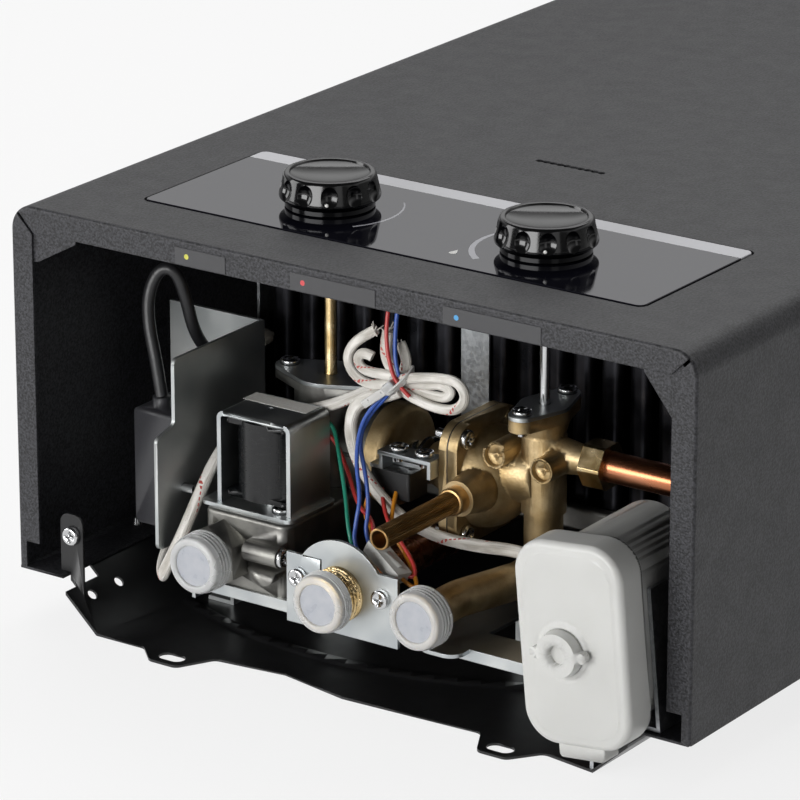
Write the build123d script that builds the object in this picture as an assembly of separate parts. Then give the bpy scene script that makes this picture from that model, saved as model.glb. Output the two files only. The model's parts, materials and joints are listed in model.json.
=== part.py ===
"""Open-flue gas water heater, lying on its back as it is shown.

Millimetres. The wall plane is Z = 0 and the front cover faces +Z. The pipe connections point along -Y,
the flue leaves along +Y, and X runs across. X = 0 is the middle of the casing. Here Y = 0 is the casing's
open connection end; the pieces are saved with Y = 0 at the wall slots.
"""
from build123d import *
import math
import os

os.makedirs("parts", exist_ok=True)

# Fits
SEAT = 0.05
GAP = 0.3

# Casing
CASE_WIDTH = 300.0
CASE_LENGTH = 500.0
CASE_FRONT = 164.0
CASE_EDGE = 18.5
SHEET = 1.0
CASE_CORNER = 10.0
FOLD_RADIUS = 1.3
FLANGE = 9.8
RETURN_FLANGE = 21.0
FLANGE_NOTCH_HEIGHT = 11.4
FLANGE_NOTCH_STRIP = 3.5
SLOT_LENGTH = 31.0
SLOT_WIDTH = 1.8
SLOT_CENTRE = (-4.0, 157.0)
SLOT_TEETH = 10
RELIEF_SLIT = 1.2

# Back plate
PLATE_FLOOR_HALF = CASE_WIDTH / 2 - 38.8
PLATE_SLOPE_RUN = 19.0
PLATE_HALF = CASE_WIDTH / 2 - 2.5
PLATE_FRONT_Y = -2.5
PLATE_REAR_Y = 497.0
PLATE_TAB_HALF = CASE_WIDTH / 2 - 24
PLATE_TAB_LENGTH = 18.0
EAR_X = 73.85
EAR_Y = -4.7
EAR_SLOT_LENGTH = 11.0
EAR_SLOT_WIDTH = 6.5
HANGER_X = 40.0
HANGER_Y = 511.0
HANGER_HOLE_RADIUS = 4.0
BEAD_RADIUS = 172.0
BEAD_CENTRE = (-29.5, 198.5)
BEAD_WIDTH = 5.0
BEAD_HEIGHT = 1.2

# Control panel
PANEL_WIDTH = 219.5
PANEL_DEPTH = 75.7
PANEL_CENTRE = (-1.8, 68.95)
PANEL_GAP = 0.9
PANEL_PROUD = 0.3
PANEL_CORNER = 3.0
CARRIER_LIP = 5.0
CARRIER_THICKNESS = 1.5
SPINDLE_HOLE = 4.0

# Knobs
GAS_KNOB_X = -50.0
WATER_KNOB_X = 46.0
KNOB_Y = 64.5
KNOB_RADIUS = 19.1
KNOB_RING_RADIUS = 16.9
KNOB_TOP_RADIUS = 16.8
KNOB_HEIGHT = 13.2
KNOB_DIMPLES = 12
KNOB_DIMPLE_BALL = 7.0
KNOB_DIMPLE_REACH = 23.9
KNOB_CLEARANCE = 0.3
KNOB_BORE_DEPTH = 9.0
SPINDLE_TOP = CASE_FRONT + PANEL_PROUD + KNOB_CLEARANCE + KNOB_BORE_DEPTH - 0.1
GAS_SPINDLE_RADIUS = 2.4
WATER_SPINDLE_RADIUS = 2.0

# Pipe ports
PORT_Z = 42.0
GAS_X = -60.0
HOT_X = 0.0
COLD_X = 38.0
THREAD_RADIUS = 10.45
THREAD_PITCH = 1.814
THREAD_DEPTH = 1.16
PORT_BORE = 7.0
CAP_LENGTH = 9.2
CAP_WALL = 0.9
SHORT_THREAD = 5 * THREAD_PITCH
LONG_THREAD = 8 * THREAD_PITCH
GAS_TIP = -8.5
HOT_TIP = -13.6
COLD_TIP = -7.2
HOT_SCREW = (18.5, 44.2)
PORT_HEX = 21.0
UNION_HEX = 22.0

# Gas valve
GAS_BODY_FRONT = 10.0
GAS_BODY_REAR = 82.0
GAS_BODY_SIDES = (-70.0, -31.0)
GAS_BODY_TOP = 57.5
COCK_RADIUS = 10.0
VALVE_OUTLET_Z = 48.0
BONNET_RADIUS = 13.8
BONNET_TOP = 97.0
BONNET_EAR = 19.0
BONNET_EAR_RADIUS = 5.5
PLATE_THICKNESS = 1.5
YOKE_SIDES = (-66.5, -33.0)
YOKE_DEPTH = (15.0, 40.0)
YOKE_TOP = 94.8
YOKE_STRAP = 1.8
COIL_RADIUS = 13.0
PLUNGER_RADIUS = 4.5
PLUNGER_TRAVEL = 3.0
CORE_BOTTOM = 86.0
COIL_X = sum(YOKE_SIDES) / 2
COIL_Y = sum(YOKE_DEPTH) / 2
SOLENOID_SCREWS = ((-39.8, 19.0), (-59.7, 36.0))
BASE_TOP = GAS_BODY_TOP + PLATE_THICKNESS
BOSS_SCREW = (6.0, 47.0)
SWITCH_SCREWS = ((-3.5, 42.5), (8.0, 42.5))

# Water valve, whose linkage runs along X
LINK_Y = 64.5
LINK_Z = 73.0
WATER_FLANGE = (17.5, 21.6)
FLANGE_SIZE = (42.0, 47.0)
FLANGE_BOLTS = (15.5, 18.7)
DOME_RADIUS = 19.8
BARREL_RADIUS = 8.4
BARREL_STEP = 64.3
NECK_RADIUS = 5.2
BARREL = (WATER_KNOB_X, KNOB_Y)
PLUGS = ((34.0, 87.5), (54.7, 86.0))
WATER_COVER_X = 13.6
COVER_CAVITY = 11.4
CAVITY_RADIUS = 14.0
OUTLET_END = 66.0
WATER_PLATE_Z = 104.5
WATER_PLATE_EAR = 15.0
FEED_Z = 87.5
FEED_RADIUS = 5.7
DRAIN_X = 26.5
DRAIN_Z = 73.0
DRAIN_TIP = -13.0
DRAIN_ROOT = 37.0
DRAIN_RADIUS = 4.2
ROD_RADIUS = 2.0
ROD_TRAVEL = 3.5

# Battery box, leaning in the X-Z plane
BATTERY_CENTRE = (CASE_WIDTH / 2 - 35.5, 55.5)
BATTERY_LEAN = 5.5
BATTERY_CAP_SIZE = (44.6, 75.4)
BATTERY_CAP_FRONT = -22.0
BATTERY_CAP_REAR = -9.0
BATTERY_BODY_RADIUS = 17.0
BATTERY_BODY_OFFSET = 19.5
BATTERY_REAR = 34.0
BATTERY_WALL = 1.5
LOCK_PLACE = (-3.0, -2.0)
CELL_RADIUS = 13.1
CELL_LENGTH = 50.0

# Burner, chamber, exchanger and flue
BURNER_COUNT = 16
BURNER_PITCH = 12.5
BURNER_THICKNESS = 9.6
BURNER_WALL = 1.0
BURNER_SPAN_Y = (92.0, 196.0)
BURNER_SPAN_Z = (52.0, 150.0)
MANIFOLD_SPAN_Y = (86.0, 91.2)
MANIFOLD_SPAN_Z = (49.0, 59.0)
NOZZLE_Z = 55.5
ELECTRODE = (-97.5, 97.0)
CHAMBER_HALF = 104.0
CHAMBER_SPAN_Y = (200.0, 330.0)
CHAMBER_SPAN_Z = (56.0, 154.0)
EXCHANGER_REAR = 386.0
FIN_COUNT = 30
FIN_THICKNESS = 0.8
FLUE_RADIUS = 45.0
FLUE_Z = 95.0
FLUE_END = 530.0
HOOD_REAR = 470.0

# Wiring
LOOM_TIE = ((0.5, 7.5), (26.5, 38.3), (104.5, 121.0))
SLEEVE_RADIUS = 2.7
WIRE_RADIUS = 0.8

# Screws
COVER_SCREW_X = CASE_WIDTH / 2 - 10
EARTH_SCREW = (22.6 - CASE_WIDTH / 2, 35.0)
IGNITER_STUD = (20.0, 58.5)
SCREW_HEAD = 3.7
SCREW_HEAD_HEIGHT = 2.2
SCREW_SHANK = 1.9


def block(x, y, z):
    """A box from its low and high place along each axis."""
    spans = (x, y, z)
    middle = [(low + high) / 2 for low, high in spans]
    return Pos(*middle) * Box(*[high - low for low, high in spans])


def along(axis, span, centre):
    """The placement that lays a +Z solid of the span's length along an axis."""
    middle = sum(span) / 2
    if axis == "x":
        return Pos(middle, centre[0], centre[1]) * Rot(0, 90, 0)
    if axis == "y":
        return Pos(centre[0], middle, centre[1]) * Rot(-90, 0, 0)
    return Pos(centre[0], centre[1], middle)


def rod(axis, span, centre, radius, far_radius=None):
    """A cylinder, or a cone where the far radius differs."""
    length = span[1] - span[0]
    if far_radius is None:
        shape = Cylinder(radius, length)
    else:
        shape = Cone(radius, far_radius, length)
    return along(axis, span, centre) * shape


def ring(axis, span, centre, radius, bore):
    """A cylinder with a bore along its whole length."""
    longer = (span[0] - 1, span[1] + 1)
    return rod(axis, span, centre, radius) - rod(axis, longer, centre, bore)


def hexagon(axis, span, centre, across_flats, turn=0.0):
    """A hexagonal prism along an axis."""
    face = Rot(0, 0, turn) * RegularPolygon(across_flats / math.sqrt(3), 6)
    prism = Pos(0, 0, (span[0] - span[1]) / 2) * extrude(face, span[1] - span[0])
    return along(axis, span, centre) * prism


def threaded(axis, span, centre, radius):
    """A rod with ridges at the thread's pitch, which ends at a whole ridge."""
    length = span[1] - span[0]
    count = round(length / THREAD_PITCH)
    pitch = length / count
    outline = [(0, 0), (radius - THREAD_DEPTH, 0)]
    for index in range(count):
        outline.append((radius, (index + 0.5) * pitch))
        outline.append((radius - THREAD_DEPTH, (index + 1) * pitch))
    outline.append((0, length))
    face = Plane.XZ * make_face(Polyline(*outline, close=True))
    return along(axis, span, centre) * Pos(0, 0, -length / 2) * revolve(face, Axis.Z)


def screw(axis, seat, centre, length, towards=-1):
    """A cross-head screw whose head lies at the seat and points along the axis, one way or the other."""
    head = Cylinder(SCREW_HEAD, SCREW_HEAD_HEIGHT, align=(Align.CENTER, Align.CENTER, Align.MIN))
    head = fillet(head.edges().group_by(Axis.Z)[-1], 1.0)
    cross = Box(4.2, 0.9, 2.4) + Box(0.9, 4.2, 2.4)
    head -= Pos(0, 0, SCREW_HEAD_HEIGHT) * cross
    shank = Cylinder(SCREW_SHANK, length, align=(Align.CENTER, Align.CENTER, Align.MAX))
    shape = head + shank
    if towards < 0:
        shape = Rot(180, 0, 0) * shape
    return along(axis, (seat, seat), centre) * shape


def ears(centre, radius, reach, ear_radius, z, across):
    """A two-eared flange between two heights: across is 'x' or 'y'."""
    step = (reach, 0) if across == "x" else (0, reach)
    outline = Pos(centre[0], centre[1]) * Circle(radius)
    for side in (-1, 1):
        outline += Pos(centre[0] + side * step[0], centre[1] + side * step[1]) * Circle(ear_radius)
    face = make_hull(outline.edges())
    return Pos(0, 0, z[0]) * extrude(face, z[1] - z[0])


def tube(points, radius, bends, bore=None):
    """A pipe along straight runs joined by arcs of the given radii."""
    path = FilletPolyline(*points, radius=bends)
    start = Plane(origin=path @ 0, z_dir=path % 0)
    pipe = sweep(start * Circle(radius), path=path)
    if bore is not None:
        pipe -= sweep(start * Circle(bore), path=path)
    return pipe


def wire(name, points, radius):
    """A round wire whose arcs are as large as its runs allow; it prints its radii and length."""
    corners = [Vector(*point) for point in points]
    bends = []
    for before, here, after in zip(corners, corners[1:], corners[2:]):
        incoming = here - before
        outgoing = after - here
        turn = math.radians(incoming.get_angle(outgoing))
        bends.append(0.45 * min(incoming.length, outgoing.length) / math.tan(turn / 2))
    path = FilletPolyline(*points, radius=bends)
    start = Plane(origin=path @ 0, z_dir=path % 0)
    shape = sweep(start * Circle(radius), path=path)
    share = shape.volume / (math.pi * radius**2 * path.length)
    radii = " ".join(f"{bend:.0f}" for bend in bends)
    print(f"{name}: length {path.length:.0f} mm, volume over section x length {share:.3f}, radii {radii}")
    return shape


def largest(shape):
    """The largest solid, where a cut has left a crumb beside it."""
    return shape.solids().sort_by(SortBy.VOLUME)[-1]


def save(node, *shapes):
    """Write one node as one STEP file, with the middle of the wall slots as its origin."""
    solids = []
    for shape in shapes:
        solids.extend((Pos(0, -EAR_Y, 0) * shape).solids())
    export_step(Compound(children=solids) if len(solids) > 1 else solids[0], f"parts/{node}.step")


def front_cover():
    half = CASE_WIDTH / 2
    outer = block((-half, half), (0, CASE_LENGTH), (CASE_EDGE, CASE_FRONT))
    long_edges = outer.edges().filter_by(Axis.Y).group_by(Axis.Z)[-1]
    outer = fillet(long_edges, CASE_CORNER)
    outer = fillet(outer.edges().group_by(Axis.Y)[0], FOLD_RADIUS)
    inside = block((-half + SHEET, half - SHEET), (SHEET, CASE_LENGTH - SHEET), (0, CASE_FRONT - SHEET))
    inner_edges = inside.edges().filter_by(Axis.Y).group_by(Axis.Z)[-1]
    inside = fillet(inner_edges, CASE_CORNER - SHEET)
    cover = outer - inside
    opening = half - FLANGE
    cover -= block((-opening, opening), (-1, 2), (0, CASE_FRONT - FLANGE))
    strip = half - FLANGE_NOTCH_STRIP
    cover -= block((-strip, strip), (-1, SHEET), (0, CASE_EDGE + FLANGE_NOTCH_HEIGHT))
    for side in (-1, 1):
        edge = sorted((side * (half - RETURN_FLANGE), side * (half - SHEET / 2)))
        cover += block(edge, (0, CASE_LENGTH), (CASE_EDGE, CASE_EDGE + SHEET))
        slit = Pos(side * (opening + 3.5), 0, CASE_FRONT - FLANGE + 3.5) * Rot(0, side * 45, 0)
        cover -= slit * Box(RELIEF_SLIT, 2.2 * SHEET, 2 * FLANGE)
    window = Pos(*PANEL_CENTRE, CASE_FRONT) * Box(PANEL_WIDTH + 2 * PANEL_GAP, PANEL_DEPTH + 2 * PANEL_GAP, 10)
    window = fillet(window.edges().filter_by(Axis.Z), PANEL_CORNER + PANEL_GAP)
    cover -= window
    slot = Pos(*SLOT_CENTRE, CASE_FRONT) * Box(SLOT_LENGTH, SLOT_WIDTH, 10)
    for index in range(SLOT_TEETH):
        place = SLOT_CENTRE[0] + (index - (SLOT_TEETH - 1) / 2) * SLOT_LENGTH / SLOT_TEETH
        slot += Pos(place, SLOT_CENTRE[1], CASE_FRONT) * Cylinder(0.8 * SLOT_WIDTH, 10)
    cover -= slot
    notch = FLUE_RADIUS + 4
    cover -= rod("y", (CASE_LENGTH - 5, CASE_LENGTH + 5), (0, FLUE_Z), notch)
    cover -= block((-notch, notch), (CASE_LENGTH - 5, CASE_LENGTH + 5), (0, FLUE_Z))
    for side in (-1, 1):
        for place in (60, CASE_LENGTH - 60):
            cover -= rod("z", (0, 30), (side * COVER_SCREW_X, place), SCREW_SHANK + SEAT)
    for row in range(4):
        for side in (-1, 1):
            vent = Pos(side * 98, CASE_LENGTH, 60 + 24 * row) * Box(60, 10, 6)
            cover -= fillet(vent.edges().filter_by(Axis.Y), 2.9)
    return cover


def cover_gussets():
    half = CASE_WIDTH / 2 - SHEET - 0.1
    top = CASE_FRONT - SHEET - 0.1
    corner = CASE_CORNER + SHEET
    left = Polyline((-half, 141.5), (10.8 - half, 142.6), (28.6 - half, 152.5), (29.9 - half, top),
                    (-half - 1.1 + corner, top), (-half, CASE_FRONT - corner), close=True)
    right = Polyline((half, 133.0), (half - 7.5, 136.0), (half - 20.9, 153.0), (half - 21.4, top),
                     (half + 1.1 - corner, top), (half, CASE_FRONT - corner), close=True)
    sheets = []
    for outline in (left, right):
        sheets.append(extrude(Plane.XZ * make_face(outline), -SHEET))
    return [Pos(0, SHEET, 0) * sheet for sheet in sheets]


def back_plate():
    floor = PLATE_FLOOR_HALF
    rim = floor + PLATE_SLOPE_RUN
    bend = 0.4
    low = [(-PLATE_HALF, CASE_EDGE - SHEET), (-rim - bend, CASE_EDGE - SHEET), (-floor - bend, 0)]
    high = [(-floor, SHEET), (-rim, CASE_EDGE), (-PLATE_HALF, CASE_EDGE)]
    outline = low + [(-x, z) for x, z in reversed(low)] + [(-x, z) for x, z in reversed(high)] + high
    section = Plane.XZ * make_face(Polyline(*outline, close=True))
    plate = Pos(0, PLATE_REAR_Y, 0) * extrude(section, PLATE_REAR_Y + 12)
    ear = 6.2
    far = PLATE_HALF + 10
    front = [(-far, PLATE_TAB_LENGTH), (-PLATE_TAB_HALF, PLATE_TAB_LENGTH), (-PLATE_TAB_HALF, PLATE_FRONT_Y),
             (-EAR_X - 15, PLATE_FRONT_Y), (-EAR_X - ear, EAR_Y - ear), (-EAR_X + ear, EAR_Y - ear),
             (-EAR_X + 14, 3.5), (-30, 7), (0, 1), (EAR_X - 14, 3.5), (EAR_X - ear, EAR_Y - ear),
             (EAR_X + ear, EAR_Y - ear), (EAR_X + 15, 1.0), (PLATE_TAB_HALF - 14, PLATE_FRONT_Y),
             (PLATE_TAB_HALF, PLATE_FRONT_Y), (PLATE_TAB_HALF, PLATE_TAB_LENGTH), (far, PLATE_TAB_LENGTH),
             (far, 600), (-far, 600)]
    trim = make_face(Polyline(*front, close=True))
    rounded = [vertex for vertex in trim.vertices() if abs(vertex.X) < EAR_X + 16]
    trim = fillet(rounded, 3.5)
    plate &= extrude(trim, 60)
    plate -= Pos(0, PLATE_REAR_Y, 0) * block((-far, far), (0, 50), (-5, 60))
    plate += block((-60, 60), (PLATE_REAR_Y - 1, HANGER_Y + 11), (0, SHEET))
    bead_centre = Pos(*BEAD_CENTRE, SHEET + BEAD_HEIGHT / 2)
    bead = bead_centre * (Cylinder(BEAD_RADIUS + BEAD_WIDTH / 2, BEAD_HEIGHT)
                          - Cylinder(BEAD_RADIUS - BEAD_WIDTH / 2, BEAD_HEIGHT + 1))
    bead &= block((7.2 - floor, floor - 21.2), (10, 75), (0, 10))
    plate += Pos(0, 0, -0.1) * bead
    for side in (-1, 1):
        slot = Pos(side * EAR_X, EAR_Y, 0) * SlotOverall(EAR_SLOT_LENGTH, EAR_SLOT_WIDTH)
        plate -= Pos(0, 0, -1) * extrude(slot, 5)
        plate -= Pos(side * HANGER_X, HANGER_Y, 0) * Cylinder(HANGER_HOLE_RADIUS, 10)
        for place in (60, CASE_LENGTH - 60):
            plate -= rod("z", (0, 30), (side * COVER_SCREW_X, place), SCREW_SHANK + SEAT)
    hole = Rot(0, 42.6, 0) * Cylinder(2.1, 6)
    for place in (8.7, 25.0):
        plate -= Pos(11 - floor - PLATE_SLOPE_RUN - 3, place, 10.5) * hole
    low, high = EARTH_SCREW[0] - 5.6, EARTH_SCREW[0] + 5.0
    clear = RETURN_FLANGE + 0.4 - CASE_WIDTH / 2
    tab = Polyline((clear, 16.6), (high, 10.9), (high, 43.5), (low, 43.5), (low, CASE_EDGE + 1.5),
                   (clear, CASE_EDGE + 1.5), close=True)
    tab = extrude(Plane.XZ * make_face(tab), -SHEET)
    tab = fillet(tab.edges().filter_by(Axis.Y).group_by(Axis.Z)[-1], 4)
    plate += Pos(0, 4, 0) * tab
    plate -= rod("y", (0, 8), EARTH_SCREW, SCREW_SHANK + SEAT)
    return plate


def panel_carrier():
    size = (PANEL_WIDTH + 2 * PANEL_GAP + 2 * CARRIER_LIP, PANEL_DEPTH + 2 * PANEL_GAP + 2 * CARRIER_LIP)
    top = CASE_FRONT - SHEET
    carrier = Pos(*PANEL_CENTRE, top - CARRIER_THICKNESS / 2) * Box(*size, CARRIER_THICKNESS)
    for knob_x in (GAS_KNOB_X, WATER_KNOB_X):
        carrier -= Pos(knob_x, KNOB_Y, top) * Cylinder(SPINDLE_HOLE, 10)
    return carrier


def control_panel():
    thickness = SHEET + PANEL_PROUD
    panel = Pos(*PANEL_CENTRE, CASE_FRONT - SHEET + thickness / 2) * Box(PANEL_WIDTH, PANEL_DEPTH, thickness)
    panel = fillet(panel.edges().filter_by(Axis.Z), PANEL_CORNER)
    panel = chamfer(panel.edges().group_by(Axis.Z)[-1], 0.25)
    for knob_x in (GAS_KNOB_X, WATER_KNOB_X):
        panel -= Pos(knob_x, KNOB_Y, CASE_FRONT) * Cylinder(SPINDLE_HOLE, 10)
    return panel


def knob(knob_x, spindle_radius):
    bottom = CASE_FRONT + PANEL_PROUD + KNOB_CLEARANCE
    outline = [(0, 0), (KNOB_RING_RADIUS, 0), (KNOB_RING_RADIUS, 2.0), (KNOB_RADIUS, 3.6),
               (KNOB_RADIUS - 0.2, 5.2), (KNOB_TOP_RADIUS + 0.5, KNOB_HEIGHT - 0.9), (KNOB_TOP_RADIUS, KNOB_HEIGHT),
               (KNOB_TOP_RADIUS - 2.2, KNOB_HEIGHT), (KNOB_TOP_RADIUS - 2.8, KNOB_HEIGHT - 0.6),
               (0, KNOB_HEIGHT - 1.2)]
    face = Plane.XZ * make_face(Polyline(*outline, close=True))
    shape = revolve(face, Axis.Z)
    for index in range(KNOB_DIMPLES):
        turn = Rot(0, 0, index * 360 / KNOB_DIMPLES)
        shape -= turn * Pos(0, -KNOB_DIMPLE_REACH, 7.4) * Sphere(KNOB_DIMPLE_BALL)
    shape -= Cylinder(spindle_radius + SEAT, 2 * KNOB_BORE_DEPTH)
    return Pos(knob_x, KNOB_Y, bottom) * shape


def transit_cap(port_x, end):
    """A plastic cap over a thread that ends at the given Y."""
    front = end - 1.2
    rear = front + CAP_LENGTH
    inner = THREAD_RADIUS + 0.25
    outer = inner + CAP_WALL
    cap = rod("y", (front + 2.2, rear), (port_x, PORT_Z), outer - 0.4, outer)
    cap += rod("y", (front, front + 2.2), (port_x, PORT_Z), 9.6, 10.6)
    cap -= rod("y", (end, rear + 1), (port_x, PORT_Z), inner)
    cap -= rod("y", (front - 1, front + 0.6), (port_x, PORT_Z), PORT_BORE)
    return cap


def gas_inlet_union():
    place = (GAS_X, PORT_Z)
    shoulder = GAS_TIP + SHORT_THREAD
    union = threaded("y", (GAS_TIP, shoulder), place, THREAD_RADIUS)
    union += hexagon("y", (shoulder, GAS_BODY_FRONT), place, UNION_HEX, turn=30)
    return union - rod("y", (-30, 30), place, PORT_BORE)


def gas_valve_body():
    body = block(GAS_BODY_SIDES, (GAS_BODY_FRONT, GAS_BODY_REAR), (29, GAS_BODY_TOP))
    body = fillet(body.edges().filter_by(Axis.Z), 5)
    body = fillet(body.edges().group_by(Axis.Z)[-1], 1.5)
    body += block((-46, -32), (6, 12), (43, 51))
    body += rod("x", (-46, -31), BOSS_SCREW, 4.0)
    half_disc = rod("y", (4, 12), (-38.5, 41), 6.2) & block((-50, -30), (0, 20), (30, 41))
    body += half_disc
    body += rod("x", (-35, -22), (LINK_Y, LINK_Z), 17)
    body += block((-35, -31), (55, 74), (50, 63))
    body -= rod("x", (-30, -21), (LINK_Y, LINK_Z), ROD_RADIUS + 1)
    body -= rod("z", (56, 100), (GAS_KNOB_X, KNOB_Y), BONNET_RADIUS + SEAT)
    body -= rod("z", (33, 60), (GAS_KNOB_X, KNOB_Y), COCK_RADIUS)
    body -= rod("y", (0, 56), (GAS_X, PORT_Z), PORT_BORE)
    body -= rod("z", (PORT_Z, 60), (COIL_X, COIL_Y), PLUNGER_RADIUS + SEAT)
    body -= rod("y", (66, 90), (GAS_KNOB_X, VALVE_OUTLET_Z), 5)
    body -= rod("x", (-40, -28), BOSS_SCREW, SCREW_SHANK + SEAT)
    for place in SOLENOID_SCREWS:
        body -= rod("z", (50, 60), place, SCREW_SHANK + SEAT)
    return body


def gas_bonnet():
    bonnet = rod("z", (56, BONNET_TOP), (GAS_KNOB_X, KNOB_Y), BONNET_RADIUS)
    bonnet += ears((GAS_KNOB_X, KNOB_Y), BONNET_RADIUS, BONNET_EAR, BONNET_EAR_RADIUS,
                   (BONNET_TOP - 3.5, BONNET_TOP), "x")
    bonnet -= rod("z", (50, 75), (GAS_KNOB_X, KNOB_Y), COCK_RADIUS)
    bonnet -= rod("z", (70, 120), (GAS_KNOB_X, KNOB_Y), GAS_SPINDLE_RADIUS + SEAT)
    for side in (-1, 1):
        bonnet -= rod("z", (80, 120), (GAS_KNOB_X + side * BONNET_EAR, KNOB_Y), SCREW_SHANK + SEAT)
    return bonnet


def spindle_plates():
    """The plates that hold the two spindles down."""
    gas_plate = ears((GAS_KNOB_X, KNOB_Y), BONNET_RADIUS, BONNET_EAR, BONNET_EAR_RADIUS,
                     (BONNET_TOP, BONNET_TOP + PLATE_THICKNESS), "x")
    gas_plate -= rod("z", (80, 120), (GAS_KNOB_X, KNOB_Y), GAS_SPINDLE_RADIUS + GAP)
    water_plate = ears(BARREL, 9.5, WATER_PLATE_EAR, 5, (WATER_PLATE_Z, WATER_PLATE_Z + PLATE_THICKNESS), "y")
    water_plate -= rod("z", (95, 120), BARREL, WATER_SPINDLE_RADIUS + GAP)
    for side in (-1, 1):
        gas_plate -= rod("z", (80, 120), (GAS_KNOB_X + side * BONNET_EAR, KNOB_Y), SCREW_SHANK + SEAT)
        water_plate -= rod("z", (95, 120), (BARREL[0], BARREL[1] + side * WATER_PLATE_EAR), SCREW_SHANK + SEAT)
    return gas_plate, water_plate


def gas_cock():
    """Tapered plug of the gas tap with its stem up to the knob."""
    cock = rod("z", (34, 74), (GAS_KNOB_X, KNOB_Y), COCK_RADIUS - SEAT)
    cock -= rod("y", (0, 100), (GAS_KNOB_X, VALVE_OUTLET_Z), 5)
    return cock + rod("z", (73, SPINDLE_TOP), (GAS_KNOB_X, KNOB_Y), GAS_SPINDLE_RADIUS)


def solenoid_base():
    base = block((-73, -31), (12.5, 42), (GAS_BODY_TOP, BASE_TOP))
    base = fillet(base.edges().filter_by(Axis.Z), 3)
    base -= rod("z", (50, 70), (COIL_X, COIL_Y), PLUNGER_RADIUS + GAP)
    for place in SOLENOID_SCREWS:
        base -= rod("z", (50, 70), place, SCREW_SHANK + SEAT)
    return base


def solenoid_yoke():
    outer = block(YOKE_SIDES, YOKE_DEPTH, (BASE_TOP, YOKE_TOP))
    outer = fillet(outer.edges().filter_by(Axis.Y).group_by(Axis.Z)[-1], 3)
    outer -= block((COIL_X - 10.5, COIL_X + 8), (YOKE_DEPTH[0] - 1, YOKE_DEPTH[0] + 0.9), (YOKE_TOP - 1, YOKE_TOP + 1))
    inner = block((YOKE_SIDES[0] + YOKE_STRAP, YOKE_SIDES[1] - YOKE_STRAP), (0, 60), (0, YOKE_TOP - YOKE_STRAP))
    inner = fillet(inner.edges().filter_by(Axis.Y).group_by(Axis.Z)[-1], 1.2)
    core = rod("z", (CORE_BOTTOM, YOKE_TOP - 0.5), (COIL_X, COIL_Y), PLUNGER_RADIUS)
    return outer - inner + core


def solenoid_coil():
    low = BASE_TOP + 3
    high = YOKE_TOP - YOKE_STRAP - 0.4
    coil = rod("z", (low, high), (COIL_X, COIL_Y), COIL_RADIUS)
    for span in ((low, low + 2), (high - 2, high)):
        flange = block((COIL_X - 14, COIL_X + 14), (YOKE_DEPTH[0] + 1, YOKE_DEPTH[1] - 1), span)
        coil += fillet(flange.edges().filter_by(Axis.Z), 2)
    return coil - rod("z", (50, 100), (COIL_X, COIL_Y), PLUNGER_RADIUS + SEAT)


def solenoid_plunger():
    return rod("z", (PORT_Z + 8.5, CORE_BOTTOM - GAP - PLUNGER_TRAVEL), (COIL_X, COIL_Y), PLUNGER_RADIUS)


def gas_valve_end_cap():
    cap = rod("x", (-22, -14), (LINK_Y, LINK_Z), 19.5)
    cap = fillet(cap.edges().group_by(Axis.X)[-1], 3)
    cap += rod("x", (-14, -11.6), (LINK_Y, LINK_Z), 6)
    return cap - rod("x", (-40, 0), (LINK_Y, LINK_Z), ROD_RADIUS + SEAT)


def flange_plate(span):
    """The rounded square of the water valve's flange, across X."""
    shape = Pos(sum(span) / 2, LINK_Y, LINK_Z) * Box(span[1] - span[0], *FLANGE_SIZE)
    shape = fillet(shape.edges().filter_by(Axis.X), 9)
    for place in flange_bolts():
        shape -= rod("x", (span[0] - 1, span[1] + 1), place, SCREW_SHANK + SEAT)
    return shape


def flange_bolts():
    places = []
    for side in (-1, 1):
        for level in (-1, 1):
            places.append((LINK_Y + side * FLANGE_BOLTS[0], LINK_Z + level * FLANGE_BOLTS[1]))
    return places


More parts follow.
